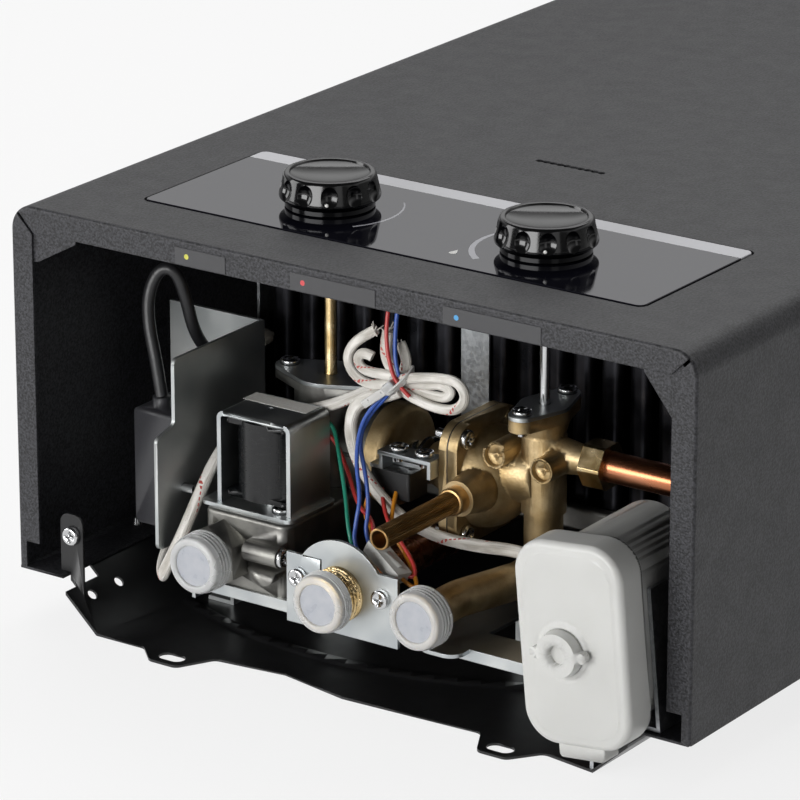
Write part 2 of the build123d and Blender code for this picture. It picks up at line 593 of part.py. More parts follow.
def water_valve_body():
    seat = WATER_FLANGE[1] - 0.5
    crown = DOME_RADIUS - 1.5
    arc = ThreePointArc((DOME_RADIUS, 0), (0.72 * DOME_RADIUS, 0.68 * crown), (0, crown))
    half_face = Plane.XZ * make_face([Line((0, 0), (DOME_RADIUS, 0)), arc, Line((0, crown), (0, 0))])
    body = along("x", (seat, seat), (LINK_Y, LINK_Z)) * revolve(half_face, Axis.Z)
    body += rod("x", (seat, BARREL[0]), (LINK_Y, LINK_Z + 4.5), 13.5, 10.5)
    body += rod("z", (BARREL_STEP, 94), BARREL, BARREL_RADIUS)
    body += rod("z", (94, WATER_PLATE_Z - 4), BARREL, BARREL_RADIUS - 0.6, BARREL_RADIUS + 1.1)
    body += ears(BARREL, 9.5, WATER_PLATE_EAR, 5, (WATER_PLATE_Z - 4.5, WATER_PLATE_Z), "y")
    body += rod("z", (50, BARREL_STEP + 1), BARREL, BARREL_RADIUS - 1.1)
    body += rod("x", (BARREL[0], OUTLET_END), (LINK_Y, FEED_Z), 8, NECK_RADIUS)
    body += rod("y", (DRAIN_ROOT, LINK_Y - 14), (DRAIN_X, DRAIN_Z), 6.8, 8.7)
    for place in PLUGS:
        body += ring("y", (49, LINK_Y), place, 4.9, 0.1)
    body += flange_plate(WATER_FLANGE)
    body -= rod("x", (WATER_FLANGE[0] - 1, WATER_FLANGE[0] + 3.5), (LINK_Y, LINK_Z), CAVITY_RADIUS)
    body -= rod("x", (WATER_FLANGE[0], BARREL[0]), (LINK_Y, LINK_Z), 6)
    body -= rod("z", (49, WATER_PLATE_Z - 10), BARREL, 6)
    body -= rod("z", (90, 110), BARREL, WATER_SPINDLE_RADIUS + SEAT)
    body -= rod("x", (BARREL[0], 80), (LINK_Y, FEED_Z), 3.6)
    body -= rod("y", (DRAIN_ROOT - 1, LINK_Y), (DRAIN_X, DRAIN_Z), 3.5)
    for place in PLUGS:
        body -= rod("y", (48, 55), place, 3.9)
    for side in (-1, 1):
        body -= rod("z", (95, 110), (BARREL[0], BARREL[1] + side * WATER_PLATE_EAR), SCREW_SHANK + SEAT)
    for place in flange_bolts():
        body -= rod("x", (WATER_FLANGE[0] - 1, 40), place, SCREW_SHANK + SEAT)
    return body


def water_valve_cover():
    cover = flange_plate((WATER_COVER_X, WATER_FLANGE[0] - 0.5))
    cover += rod("x", (WATER_COVER_X - 4.2, WATER_COVER_X + 0.1), (LINK_Y, LINK_Z), CAVITY_RADIUS + 1, CAVITY_RADIUS + 3.5)
    cover += rod("x", (-2, WATER_COVER_X - 4.1), (LINK_Y, LINK_Z), 8, 12)
    cover -= rod("x", (COVER_CAVITY, 20), (LINK_Y, LINK_Z), CAVITY_RADIUS)
    return cover - rod("x", (-10, 20), (LINK_Y, LINK_Z), ROD_RADIUS + SEAT)


def water_regulator():
    """Ported plug that sets the water flow, with its stem up to the knob."""
    high = WATER_PLATE_Z - 10 - GAP
    plug = rod("z", (72, high), BARREL, 6 - SEAT) - rod("x", (0, 100), (LINK_Y, 78), 4)
    return plug + rod("z", (high - 1, SPINDLE_TOP), BARREL, WATER_SPINDLE_RADIUS)


def blanking_plugs():
    plugs = []
    for place in PLUGS:
        plug = rod("y", (51, 55), place, 3.9 - SEAT)
        plug -= Pos(place[0], 51, place[1]) * Box(5, 2.4, 1)
        plug -= Pos(place[0], 51, place[1]) * Box(1, 2.4, 5)
        plugs.append(plug)
    return plugs


def push_rod():
    """The rod with its diaphragm disc and the collar that moves the switch's blade."""
    end = WATER_FLANGE[0] - 0.6
    straight = rod("x", (-26, end), (LINK_Y, LINK_Z), ROD_RADIUS)
    disc = ring("x", (end - 1, end), (LINK_Y, LINK_Z), 12, ROD_RADIUS)
    collar = ring("x", (-6, -4.5), (LINK_Y, LINK_Z), 9, ROD_RADIUS)
    return straight, disc, collar


def union_nut():
    nut = hexagon("x", (OUTLET_END, OUTLET_END + 9.2), (LINK_Y, FEED_Z), 16.4, turn=30)
    nut = nut & rod("x", (50, 90), (LINK_Y, FEED_Z), 9.1)
    return nut - rod("x", (50, 90), (LINK_Y, FEED_Z), FEED_RADIUS + SEAT)


def feed_pipe():
    """Copper pipe from the water valve along the side to the heat exchanger."""
    end = CHAMBER_SPAN_Y[1] + 22
    points = [(OUTLET_END, LINK_Y, FEED_Z), (124, LINK_Y, FEED_Z), (124, end, FEED_Z), (106.1, end, FEED_Z)]
    return tube(points, FEED_RADIUS, [16, 9], bore=FEED_RADIUS - 1)


def hot_pipe():
    """Copper pipe from the heat exchanger, under the chamber, to the hot connection."""
    end = CHAMBER_SPAN_Y[1] + 22
    points = [(HOT_X, 14, PORT_Z), (HOT_X, end, PORT_Z), (HOT_X, end, CHAMBER_SPAN_Z[0])]
    return tube(points, 6.5, [9], bore=5.5)


def drain_nozzle():
    place = (DRAIN_X, DRAIN_Z)
    nozzle = rod("y", (DRAIN_TIP, DRAIN_ROOT), place, DRAIN_RADIUS)
    for index in range(18):
        angle = math.radians(index * 20)
        centre = (place[0] + DRAIN_RADIUS * math.cos(angle), place[1] + DRAIN_RADIUS * math.sin(angle))
        nozzle -= rod("y", (DRAIN_TIP + 2, DRAIN_ROOT - 8), centre, 0.35)
    nozzle += rod("y", (DRAIN_ROOT - 5, DRAIN_ROOT - 0.2), place, 5.3)
    nozzle += rod("y", (DRAIN_ROOT - 1, DRAIN_ROOT + 8), place, 3.5 - SEAT)
    return nozzle - rod("y", (DRAIN_TIP - 1, DRAIN_ROOT - 14), place, 3.2)


def cold_inlet():
    """The cold connection and its cast bend up into the water valve."""
    place = (COLD_X, PORT_Z)
    shoulder = COLD_TIP + SHORT_THREAD
    inlet = threaded("y", (COLD_TIP, shoulder), place, THREAD_RADIUS)
    inlet += rod("y", (shoulder, 6), place, THREAD_RADIUS, 8)
    points = [(COLD_X, 5, PORT_Z), (COLD_X, 20, PORT_Z), (BARREL[0], 48, PORT_Z), (BARREL[0], BARREL[1], PORT_Z),
              (BARREL[0], BARREL[1], 50)]
    inlet += tube(points, 6.9, [14, 14, 7.6])
    return inlet - rod("y", (-20, 12), place, 5.5)


def hot_outlet():
    place = (HOT_X, PORT_Z)
    outlet = threaded("y", (HOT_TIP, HOT_TIP + LONG_THREAD), place, THREAD_RADIUS)
    outlet -= rod("y", (0, 5), place, THREAD_RADIUS + 1) - rod("y", (0, 5), place, 9.2)
    outlet += rod("y", (-0.1, PLATE_THICKNESS + 0.1), place, 9.5)
    outlet += hexagon("y", (PLATE_THICKNESS, 8), place, PORT_HEX, turn=30)
    outlet += rod("y", (8, 14), place, 8.5)
    return outlet - rod("y", (-30, 30), place, PORT_BORE)


def hot_plate():
    """The upright plate that holds the hot connection."""
    plate = block((-23.9, 25.6), (0, PLATE_THICKNESS), (26, 53.2)) + rod("y", (0, PLATE_THICKNESS), (HOT_X, PORT_Z), 20.2)
    plate &= block((-40, 40), (-5, 5), (26, 80))
    plate -= rod("y", (-5, 5), (HOT_X, PORT_Z), 9.5 + SEAT)
    for side in (-1, 1):
        plate -= rod("y", (-5, 5), (side * HOT_SCREW[0], HOT_SCREW[1]), SCREW_SHANK + SEAT)
    plate -= block((-8.8, -8.1), (-1, 5), (48.4, 53.4))
    return plate - block((-16.5, -8.1), (-1, 5), (52.8, 53.4))


def cross_bracket():
    """Folded strip under the three ports, standing on the back plate."""
    bracket = block((-73, 76), (9, 26), (27.5, 29))
    bracket += block((-73, 76), (9, 10.5), (24.5, 29))
    for span in ((-74.5, -73), (76, 77.5)):
        bracket += block(span, (9, 16), (20.5, 29))
    bracket += block((-69, -65), (24.5, 26), (23, 29))
    for span in ((-58, -42), (30, 48)):
        bracket += block(span, (25, 72), (27.5, 29))
        bracket += block(span, (70.5, 72), (SHEET, 29))
        bracket += block(span, (70.5, 84), (SHEET, SHEET + 1.5))
    bracket += block((-22, 24), (PLATE_THICKNESS, 10), (27.5, 29))
    tongue = block((33, 51), (0, 10), (27.5, 29))
    bracket += fillet(tongue.edges().filter_by(Axis.Z).group_by(Axis.Y)[0], 6)
    for side in (-1, 1):
        tab = block(sorted((side * 14.2, side * 23.0)), (PLATE_THICKNESS, PLATE_THICKNESS + 1.5), (27.5, 50))
        bracket += fillet(tab.edges().filter_by(Axis.Y).group_by(Axis.Z)[-1], 2)
        bracket -= rod("y", (0, 10), (side * HOT_SCREW[0], HOT_SCREW[1]), SCREW_SHANK + SEAT)
    return bracket


def side_bracket():
    """Upright plate left of the gas valve, folded outwards at its rear."""
    outline = Polyline((4, 38), (4, 82), (15, 85), (15, 110.5), (71.5, 110.5), (71.5, 38), close=True)
    face = make_face(outline)
    front = [vertex for vertex in face.vertices() if vertex.X < 30]
    bracket = Pos(-87.5, 0, 0) * extrude(Plane.YZ * fillet(front, 2.5), 1.5)
    bracket += block((-130, -86), (70, 71.5), (40, 110.5))
    bracket += block((-87.5, -86), (50, 71.5), (SHEET, 38))
    bracket += block((-98, -86), (50, 71.5), (SHEET, SHEET + 1.5))
    bracket -= rod("x", (-100, -80), IGNITER_STUD, SCREW_SHANK + SEAT)
    return bracket - rod("y", (60, 80), ELECTRODE, 3.2)


def igniter_box():
    box = block((-107.5, -87.5), (18, 58), (41, 87))
    box = fillet(box.edges().filter_by(Axis.Y), 2)
    for index in range(4):
        box -= block((-109, -106.8), (24 + 8 * index, 27 + 8 * index), (46, 82))
    box += rod("z", (87, 91), (-99, 24), 3.4)
    return box - rod("x", (-92, -80), IGNITER_STUD, SCREW_SHANK + SEAT)


def igniter_lead():
    points = [(-99, 24, 91), (-102, 25, 104), (-107, 27, 117), (-108.5, 29, 129), (-105, 32, 138.5), (-99, 34, 138),
              (-97, 37, 127), (-96.6, 41, 113), (-97.6, 50, 102), (-97.5, 61, 97.5), (-97.5, 72, 97), (-97.5, 84.5, 97)]
    return wire("igniter_lead", points, 2.4)


def electrode():
    """Ceramic body and bare tip, which point at the burner."""
    ceramic = rod("y", (84, 88.5), ELECTRODE, 3)
    return ceramic + rod("y", (88, BURNER_SPAN_Y[0] - GAP), ELECTRODE, 1.2)


def microswitch():
    box = block((-14, 3.5), (39, 51.5), (66, 76.5))
    box = fillet(box.edges().filter_by(Axis.Z), 1)
    for place in (-11.5, 0.5):
        box -= rod("z", (70, 80), (place, 45), 1.2)
    return box


def microswitch_bracket():
    """Bent strip from the water valve's flange, over the blade and down on to the switch."""
    bracket = block((-14, 3.5), (46.5, 51.5), (76.5, 78))
    bracket += block((-10, -8.5), (39, 45.5), (76.5, 84))
    bracket += block((-14, -8.5), (39, 51.5), (76.5, 78))
    bracket += block((-10, WATER_COVER_X), (38, 47), (82.5, 84))
    bracket += block((WATER_COVER_X - 1.5, WATER_COVER_X), (38, 47), (77, 84))
    for place in SWITCH_SCREWS:
        bracket -= rod("z", (80, 86), place, SCREW_SHANK + SEAT)
    return bracket


def microswitch_lever():
    """A sprung blade beside the rod's collar."""
    lever = block((-7.2, -6.7), (45, 60), (78.4, 82.1))
    return lever + rod("z", (78.4, 82.1), (-6.95, 44.6), 1.1)


def battery_place():
    return Pos(BATTERY_CENTRE[0], 0, BATTERY_CENTRE[1]) * Rot(0, -BATTERY_LEAN, 0)


def stadium(span, radius):
    shape = Box(2 * radius, span[1] - span[0], 2 * BATTERY_BODY_OFFSET)
    shape = Pos(0, sum(span) / 2, 0) * shape
    for side in (-1, 1):
        shape += rod("y", span, (0, side * BATTERY_BODY_OFFSET), radius)
    return shape


def battery_box():
    body = stadium((BATTERY_CAP_REAR, BATTERY_REAR), BATTERY_BODY_RADIUS)
    rim = Pos(0, BATTERY_CAP_REAR + 0.75, 0) * Box(BATTERY_CAP_SIZE[0] - 1, 1.5, BATTERY_CAP_SIZE[1] - 1)
    body += fillet(rim.edges().filter_by(Axis.Y), 12)
    body -= stadium((BATTERY_CAP_REAR - 1, BATTERY_REAR - BATTERY_WALL), BATTERY_BODY_RADIUS - BATTERY_WALL)
    return battery_place() * body


def battery_cap():
    span = (BATTERY_CAP_FRONT, BATTERY_CAP_REAR)
    cap = Pos(0, sum(span) / 2, 0) * Box(BATTERY_CAP_SIZE[0], span[1] - span[0], BATTERY_CAP_SIZE[1])
    cap = fillet(cap.edges().filter_by(Axis.Y), 13)
    cap = fillet(cap.edges().group_by(Axis.Y)[0], 2.5)
    pocket = Pos(0, sum(span) / 2 + 1.5, 0) * Box(BATTERY_CAP_SIZE[0] - 3, span[1] - span[0], BATTERY_CAP_SIZE[1] - 3)
    cap -= fillet(pocket.edges().filter_by(Axis.Y), 11.5)
    tongue = block((-9, 10), (-20.5, -12), (-BATTERY_CAP_SIZE[1] / 2 - 4.6, -BATTERY_CAP_SIZE[1] / 2 + 1))
    cap += fillet(tongue.edges().filter_by(Axis.Y).group_by(Axis.Z)[0], 1.5)
    cap += rod("y", (BATTERY_CAP_FRONT - 1, BATTERY_CAP_FRONT + 0.5), LOCK_PLACE, 10)
    cap -= rod("y", (-40, 0), LOCK_PLACE, 4 + SEAT)
    return battery_place() * cap


def battery_lock():
    front = BATTERY_CAP_FRONT - 1 - GAP
    lock = rod("y", (front - 4.5, front), LOCK_PLACE, 8.0, 8.8)
    wing = block((LOCK_PLACE[0] - 11.5, LOCK_PLACE[0] + 11.5), (front - 3.5, front - 0.3), (LOCK_PLACE[1] - 2, LOCK_PLACE[1] + 2))
    lock += fillet(wing.edges().filter_by(Axis.Y), 1.9)
    lock += rod("y", (front, BATTERY_CAP_FRONT + 4), LOCK_PLACE, 4)
    lock += Pos(LOCK_PLACE[0], BATTERY_CAP_FRONT + 3.2, LOCK_PLACE[1]) * Box(5, 1.6, 12)
    lock -= rod("y", (front - 6, front - 1.5), LOCK_PLACE, 3.8)
    return battery_place() * lock


def battery_cells():
    low = BATTERY_REAR - BATTERY_WALL - 1.0 - CELL_LENGTH
    cells = []
    for side in (-1, 1):
        cell = rod("y", (low + 2, low + CELL_LENGTH), (0, side * 18.0), CELL_RADIUS)
        cell += rod("y", (low, low + 2.1), (0, side * 18.0), 3.5)
        cells.append(battery_place() * cell)
    return cells


def battery_contacts():
    high = BATTERY_REAR - BATTERY_WALL
    contact = block((-6, 6), (high - 1.0, high), (-26, 26))
    return battery_place() * contact


def battery_bracket():
    """Galvanised strip that carries the battery box: foot on the back plate, seat, step and upright side."""
    clear = CASE_WIDTH / 2 - RETURN_FLANGE - 0.4
    foot = clear - 19.1
    bracket = block((foot, foot + 1.5), (-1, 34), (SHEET, 18.9))
    bracket += block((foot - 5.5, clear), (-4, 34), (17.4, 18.9))
    bracket += block((clear - 1.5, clear), (2, 34), (17.4, 21.4))
    bracket += block((clear - 1.5, clear + 7.4), (2, 34), (19.9, 21.4))
    side = battery_place() * block((17.2, 18.7), (2, 34), (-38, 16))
    return bracket + (side & block((foot - 10, clear + 30), (-10, 60), (19.9, 90)))


def label_strips():
    strips = []
    for span in ((-73.0, -50.3), (-21.2, 16.0), (45.2, 86.4)):
        strips.append(block(span, (-0.25, 0), (154.6, 161.0)))
    return strips


def burner_bars():
    bars = []
    for index in range(BURNER_COUNT):
        middle = (index - (BURNER_COUNT - 1) / 2) * BURNER_PITCH
        bar = block((middle - BURNER_THICKNESS / 2, middle + BURNER_THICKNESS / 2), BURNER_SPAN_Y, BURNER_SPAN_Z)
        bar = fillet(bar.edges().filter_by(Axis.Z).group_by(Axis.Y)[0], 3.5)
        bar -= rod("y", (BURNER_SPAN_Y[0] - 1, BURNER_SPAN_Y[0] + 14), (middle, NOZZLE_Z), 2.8)
        inside = BURNER_THICKNESS / 2 - BURNER_WALL
        bar -= block((middle - inside, middle + inside), (BURNER_SPAN_Y[0] + 4, BURNER_SPAN_Y[1] - BURNER_WALL),
                     (BURNER_SPAN_Z[0] + BURNER_WALL, BURNER_SPAN_Z[1] - BURNER_WALL))
        bar -= block((middle - 1, middle + 1), (BURNER_SPAN_Y[1] - 3, BURNER_SPAN_Y[1] + 1),
                     (BURNER_SPAN_Z[0] + 6, BURNER_SPAN_Z[1] - 6))
        bars.append(bar)
    return bars


def burner_tray():
    side = CHAMBER_HALF
    tray = block((-side, side), (MANIFOLD_SPAN_Y[1], CHAMBER_SPAN_Y[0]), (BURNER_SPAN_Z[0] - 1.2, BURNER_SPAN_Z[0]))
    for edge in ((-side, -side + 1.2), (side - 1.2, side)):
        tray += block(edge, (MANIFOLD_SPAN_Y[1], CHAMBER_SPAN_Y[0]), (BURNER_SPAN_Z[0] - 1.2, BURNER_SPAN_Z[1] + 2))
    for edge in ((-90, -86), (86, 90)):
        tray += block(edge, (120, 130), (SHEET, BURNER_SPAN_Z[0] - 1))
    tray += block((-8.5, 4.0), (MANIFOLD_SPAN_Y[1] - 0.9, MANIFOLD_SPAN_Y[1] + 0.1), (BURNER_SPAN_Z[0] + 8.2, BURNER_SPAN_Z[1] + 2))
    tray += block((-8.5, 4.0), (MANIFOLD_SPAN_Y[1] - 0.9, MANIFOLD_SPAN_Y[1] + 10), (BURNER_SPAN_Z[1] + 0.6, BURNER_SPAN_Z[1] + 1.8))
    tray += block((-side, side), (MANIFOLD_SPAN_Y[1] + 4, MANIFOLD_SPAN_Y[1] + 10), (BURNER_SPAN_Z[1] + 0.6, BURNER_SPAN_Z[1] + 1.8))
    return tray


def gas_manifold():
    """Flat pipe across the burner, with one nozzle for each bar."""
    outlet = (GAS_KNOB_X, VALVE_OUTLET_Z)
    pipe = block((-98, 98), MANIFOLD_SPAN_Y, MANIFOLD_SPAN_Z)
    pipe = fillet(pipe.edges().filter_by(Axis.X), 2)
    for index in range(BURNER_COUNT):
        middle = (index - (BURNER_COUNT - 1) / 2) * BURNER_PITCH
        pipe += rod("y", (MANIFOLD_SPAN_Y[1] - 0.2, BURNER_SPAN_Y[0] - GAP), (middle, NOZZLE_Z), 2.2)
    pipe += rod("y", (GAS_BODY_REAR, MANIFOLD_SPAN_Y[0] + 0.5), outlet, 7)
    pipe -= rod("y", (GAS_BODY_REAR - 1, MANIFOLD_SPAN_Y[0] + 2), outlet, 4)
    return pipe - block((-96, 96), (MANIFOLD_SPAN_Y[0] + 1.5, MANIFOLD_SPAN_Y[1] - 1.5), (51, 57))


def combustion_chamber():
    outer = block((-CHAMBER_HALF, CHAMBER_HALF), CHAMBER_SPAN_Y, CHAMBER_SPAN_Z)
    hole = block((-CHAMBER_HALF + 1.5, CHAMBER_HALF - 1.5), (CHAMBER_SPAN_Y[0] - 1, CHAMBER_SPAN_Y[1] + 1),
                 (CHAMBER_SPAN_Z[0] + 1.5, CHAMBER_SPAN_Z[1] - 1.5))
    return outer - hole


def heat_exchanger():
    """Finned copper block with its water tubes."""
    low, high = CHAMBER_SPAN_Y[1], EXCHANGER_REAR
    outer = block((-CHAMBER_HALF, CHAMBER_HALF), (low, high), CHAMBER_SPAN_Z)
    hole = block((-CHAMBER_HALF + 2, CHAMBER_HALF - 2), (low - 1, high + 1), (CHAMBER_SPAN_Z[0] + 2, CHAMBER_SPAN_Z[1] - 2))
    block_shape = outer - hole
    pitch = (2 * CHAMBER_HALF - 4) / (FIN_COUNT + 1)
    for index in range(FIN_COUNT):
        middle = -CHAMBER_HALF + 2 + (index + 1) * pitch
        block_shape += block((middle - FIN_THICKNESS / 2, middle + FIN_THICKNESS / 2), (low + 6, high - 6),
                             (CHAMBER_SPAN_Z[0] + 1, CHAMBER_SPAN_Z[1] - 1))
    for level in (FEED_Z, FEED_Z + 30):
        block_shape += rod("x", (-CHAMBER_HALF + 1, CHAMBER_HALF + 2), (low + 22, level), 7.5)
    return block_shape


def draught_hood():
    low, high = EXCHANGER_REAR, HOOD_REAR
    shell = block((-CHAMBER_HALF, CHAMBER_HALF), (low, high), CHAMBER_SPAN_Z)
    shell = fillet(shell.edges().filter_by(Axis.Z).group_by(Axis.Y)[-1], 24)
    hole = block((-CHAMBER_HALF + 1.2, CHAMBER_HALF - 1.2), (low - 1, high - 1.2),
                 (CHAMBER_SPAN_Z[0] + 1.2, CHAMBER_SPAN_Z[1] - 1.2))
    hole = fillet(hole.edges().filter_by(Axis.Z).group_by(Axis.Y)[-1], 22.8)
    shell -= hole
    shell -= rod("y", (high - 10, high + 10), (0, FLUE_Z), FLUE_RADIUS - 3)
    for side in (-1, 1):
        shell -= Pos(side * CHAMBER_HALF, low + 25, FLUE_Z + 10) * Box(10, 26, 60)
    return shell


def flue_collar():
    collar = ring("y", (HOOD_REAR, FLUE_END), (0, FLUE_Z), FLUE_RADIUS, FLUE_RADIUS - 1.2)
    collar += ring("y", (HOOD_REAR, HOOD_REAR + 1.5), (0, FLUE_Z), FLUE_RADIUS + 3, FLUE_RADIUS - 1.2)
    return collar


SLEEVES = {
    "left_sleeve": [(-98, 30, 42), (-97.5, 26, 33), (-95, 17, 27), (-89, 9, 25), (-84, 6, 31.5), (-79, 9, 44),
                    (-76.5, 17, 59), (-77.5, 29, 70), (-74.5, 39.5, 79), (-63, 45.2, 84.5), (-47, 45.4, 89.5),
                    (-31, 43.5, 96.5), (-14, 42, 106.5), (2, 35.2, 114.5)],
    "right_sleeve": [(2, 31, 108), (-9, 33, 107), (-17, 33.5, 101.5), (-19.5, 33.5, 91), (-16, 34, 79),
                     (-8, 35, 68.5), (1, 37, 60.5), (11.5, 39, 56), (22.5, 40.6, 54.3), (34, 44, 53.6),
                     (46, 47.3, 53.8), (61, 46, 53), (76, 40.5, 52.5), (88, 32, 53), (98, 27, 53)],
    "left_loop": [(2, 29.6, 115.5), (-7, 31, 116), (-14.5, 33, 117.5), (-20, 34.5, 122.5), (-17, 35, 129),
                  (-10, 34.5, 130.5), (-2.5, 33, 127), (3.2, 31, 119.5)],
    "right_loop": [(6, 29.8, 117.5), (14, 29.5, 120), (22.5, 29.5, 121.8), (30, 29.8, 120), (31.5, 30.2, 114.5),
                   (25, 30.6, 110.8), (15, 31, 110), (6, 31, 110.5)],
    "upper_sleeve": [(5.6, 34.5, 119.5), (6.4, 34.8, 124.5), (4, 35.5, 129), (0.8, 36, 133)],
}
BLUE_WIRES = {
    "blue_wire_1": [(2, 28.5, 112), (-3.4, 26.5, 107.5), (-8.6, 25, 97.5), (-10.6, 25, 83.5), (-8, 24.5, 70),
                    (-8.6, 22, 60), (-6.6, 18, 53), (-1.6, 19, 47)],
    "blue_wire_2": [(1.5, 28, 107), (-5, 27.5, 103), (-11.5, 28, 91), (-8, 28, 77), (-5.4, 26, 65.5),
                    (-4.4, 21.5, 56), (0.8, 22.5, 47)],
    "blue_wire_3": [(1.6, 36, 132), (1.9, 35, 142), (1.6, 36, 151.5), (2.2, 38, 162)],
}
RED_WIRES = {
    "red_wire_1": [(-0.4, 36, 132), (-0.8, 34.5, 142), (-0.9, 36, 151.5), (-0.2, 38.5, 162)],
    "red_wire_2": [(-38, 38.4, 86.2), (-34.5, 43, 84.5), (-23.2, 37.5, 74.5), (-13.6, 30.5, 63), (-4, 28, 60.5),
                   (6, 13, 59.5)],
    "orange_wire_1": [(-11, 39.6, 70.5), (-12.4, 36.6, 69), (-11.5, 31, 60.5), (-2, 25, 57), (5, 12.6, 56)],
    "green_wire": [(-38, 38.4, 90.6), (-34, 43.5, 89.5), (-25.4, 35.5, 79), (-17.5, 28.5, 66.5), (-11.5, 21.5, 57.5),
                   (-8.4, 20.5, 50), (-2.6, 24.5, 45)],
    "red_wire_3": [(21.4, 11.6, 50.4), (24.6, 12.2, 49), (23.4, 14.5, 53.2), (14.4, 19, 58.6), (-0.2, 28, 63.2),
                   (-7.5, 37.4, 69.6)],
    "orange_wire_2": [(21.4, 8.4, 50.2), (27.4, 9, 46), (25.4, 12.4, 49.6), (14.6, 19.6, 55.6), (2.6, 26.6, 60.4),
                      (-2.5, 39.4, 68.6)],
}


def wire_connector():
    """White two-way plug and socket, lying aslant between the wires."""
    centre = Vector(14, 10.2, 54.4)
    plane = Plane(origin=centre, x_dir=(16.1, -4, -8.7), z_dir=(8.7, 0, 16.1))
    shape = plane * Box(18.5, 7, 5)
    shape += plane * Pos(2, 0, 2.6) * Box(8, 2.4, 1)
    return shape


def wiring_loom():
    """Sleeved leads and the tape that binds them where they meet."""
    bound = block(*LOOM_TIE)
    bound = fillet(bound.edges().filter_by(Axis.X), 4)
    leads = []
    for name, points in SLEEVES.items():
        leads.append(largest(wire(name, points, SLEEVE_RADIUS) - bound - igniter_box() - battery_box()))
    return [bound] + leads


def coloured_wires(routes, ends):
    """Plain wires, cut off flush where they go into something."""
    wires = []
    for name, points in routes.items():
        lead = wire(name, points, WIRE_RADIUS)
        for end in ends:
            lead -= end
        wires.append(largest(lead))
    return wires


def assembly_screws():
    screws = []
    for side in (-1, 1):
        screws.append(screw("z", BONNET_TOP + PLATE_THICKNESS, (GAS_KNOB_X + side * BONNET_EAR, KNOB_Y), 4.5, 1))
        screws.append(screw("z", WATER_PLATE_Z + PLATE_THICKNESS, (BARREL[0], BARREL[1] + side * WATER_PLATE_EAR), 8, 1))
        screws.append(screw("y", 0, (side * HOT_SCREW[0], HOT_SCREW[1]), 5))
        for place in (60, CASE_LENGTH - 60):
            screws.append(screw("z", CASE_EDGE - SHEET, (side * COVER_SCREW_X, place), 5))
    for place in flange_bolts():
        screws.append(screw("x", WATER_FLANGE[1], place, 12, 1))
    for place in SOLENOID_SCREWS:
        screws.append(screw("z", BASE_TOP, place, 7, 1))
    for place in SWITCH_SCREWS:
        screws.append(screw("z", 84, place, 4, 1))
    screws.append(screw("x", GAS_BODY_SIDES[1], BOSS_SCREW, 8, 1))
    screws.append(screw("y", 4, EARTH_SCREW, 5))
    screws.append(rod("x", (-92, -81), IGNITER_STUD, SCREW_SHANK))
    return screws


def build():
    save("front_cover", front_cover())
    save("cover_gussets", *cover_gussets())
    save("back_plate", back_plate())
    save("panel_carrier", panel_carrier())
    save("control_panel", control_panel())
    save("label_strips", *label_strips())
    save("gas_knob", knob(GAS_KNOB_X, GAS_SPINDLE_RADIUS))
    save("water_knob", knob(WATER_KNOB_X, WATER_SPINDLE_RADIUS))
    save("gas_cap", transit_cap(GAS_X, GAS_TIP))
    save("hot_cap", transit_cap(HOT_X, HOT_TIP))
    save("cold_cap", transit_cap(COLD_X, COLD_TIP))
    save("gas_inlet_union", gas_inlet_union())
    save("gas_valve_body", gas_valve_body())
    save("gas_bonnet", gas_bonnet())
    save("spindle_plates", *spindle_plates())
    save("gas_cock", gas_cock())
    save("solenoid_base", solenoid_base())
    save("solenoid_yoke", solenoid_yoke())
    save("solenoid_coil", solenoid_coil())
    save("solenoid_plunger", solenoid_plunger())
    save("gas_valve_end_cap", gas_valve_end_cap())
    save("water_valve_body", water_valve_body())
    save("water_valve_cover", water_valve_cover())
    save("diaphragm", flange_plate((WATER_FLANGE[0] - 0.5, WATER_FLANGE[0])))
    save("water_regulator", water_regulator())
    save("blanking_plugs", *blanking_plugs())
    save("push_rod", *push_rod())
    save("union_nut", union_nut())
    save("feed_pipe", feed_pipe())
    save("hot_pipe", hot_pipe())
    save("drain_nozzle", drain_nozzle())
    save("cold_inlet", cold_inlet())
    save("hot_outlet", hot_outlet())
    save("hot_plate", hot_plate())
    save("cross_bracket", cross_bracket())
    save("side_bracket", side_bracket())
    save("igniter_box", igniter_box())
    save("igniter_lead", igniter_lead() - igniter_box() - electrode())
    save("electrode", electrode())
    save("microswitch", microswitch())
    save("microswitch_bracket", microswitch_bracket())
    save("microswitch_lever", microswitch_lever())
    save("battery_box", battery_box())
    save("battery_cap", battery_cap())
    save("battery_lock", battery_lock())
    save("battery_cells", *battery_cells())
    save("battery_contacts", battery_contacts())
    save("battery_bracket", battery_bracket())
    save("burner_bars", *burner_bars())
    save("burner_tray", burner_tray())
    save("gas_manifold", gas_manifold())
    save("combustion_chamber", combustion_chamber())
    save("heat_exchanger", heat_exchanger())
    save("draught_hood", draught_hood())
    save("flue_collar", flue_collar())
    loom = wiring_loom()
    save("wiring_loom", *loom)
    save("wire_connector", wire_connector())
    ends = loom + [hot_pipe(), panel_carrier(), solenoid_coil(), wire_connector(), microswitch()]
    save("blue_wires", *coloured_wires(BLUE_WIRES, ends))
    save("red_wires", *coloured_wires(RED_WIRES, ends))
    save("assembly_screws", *assembly_screws())


build()
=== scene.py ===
"""Gas water heater, lying on its back with its connection end towards the camera."""
import json
import math
import random

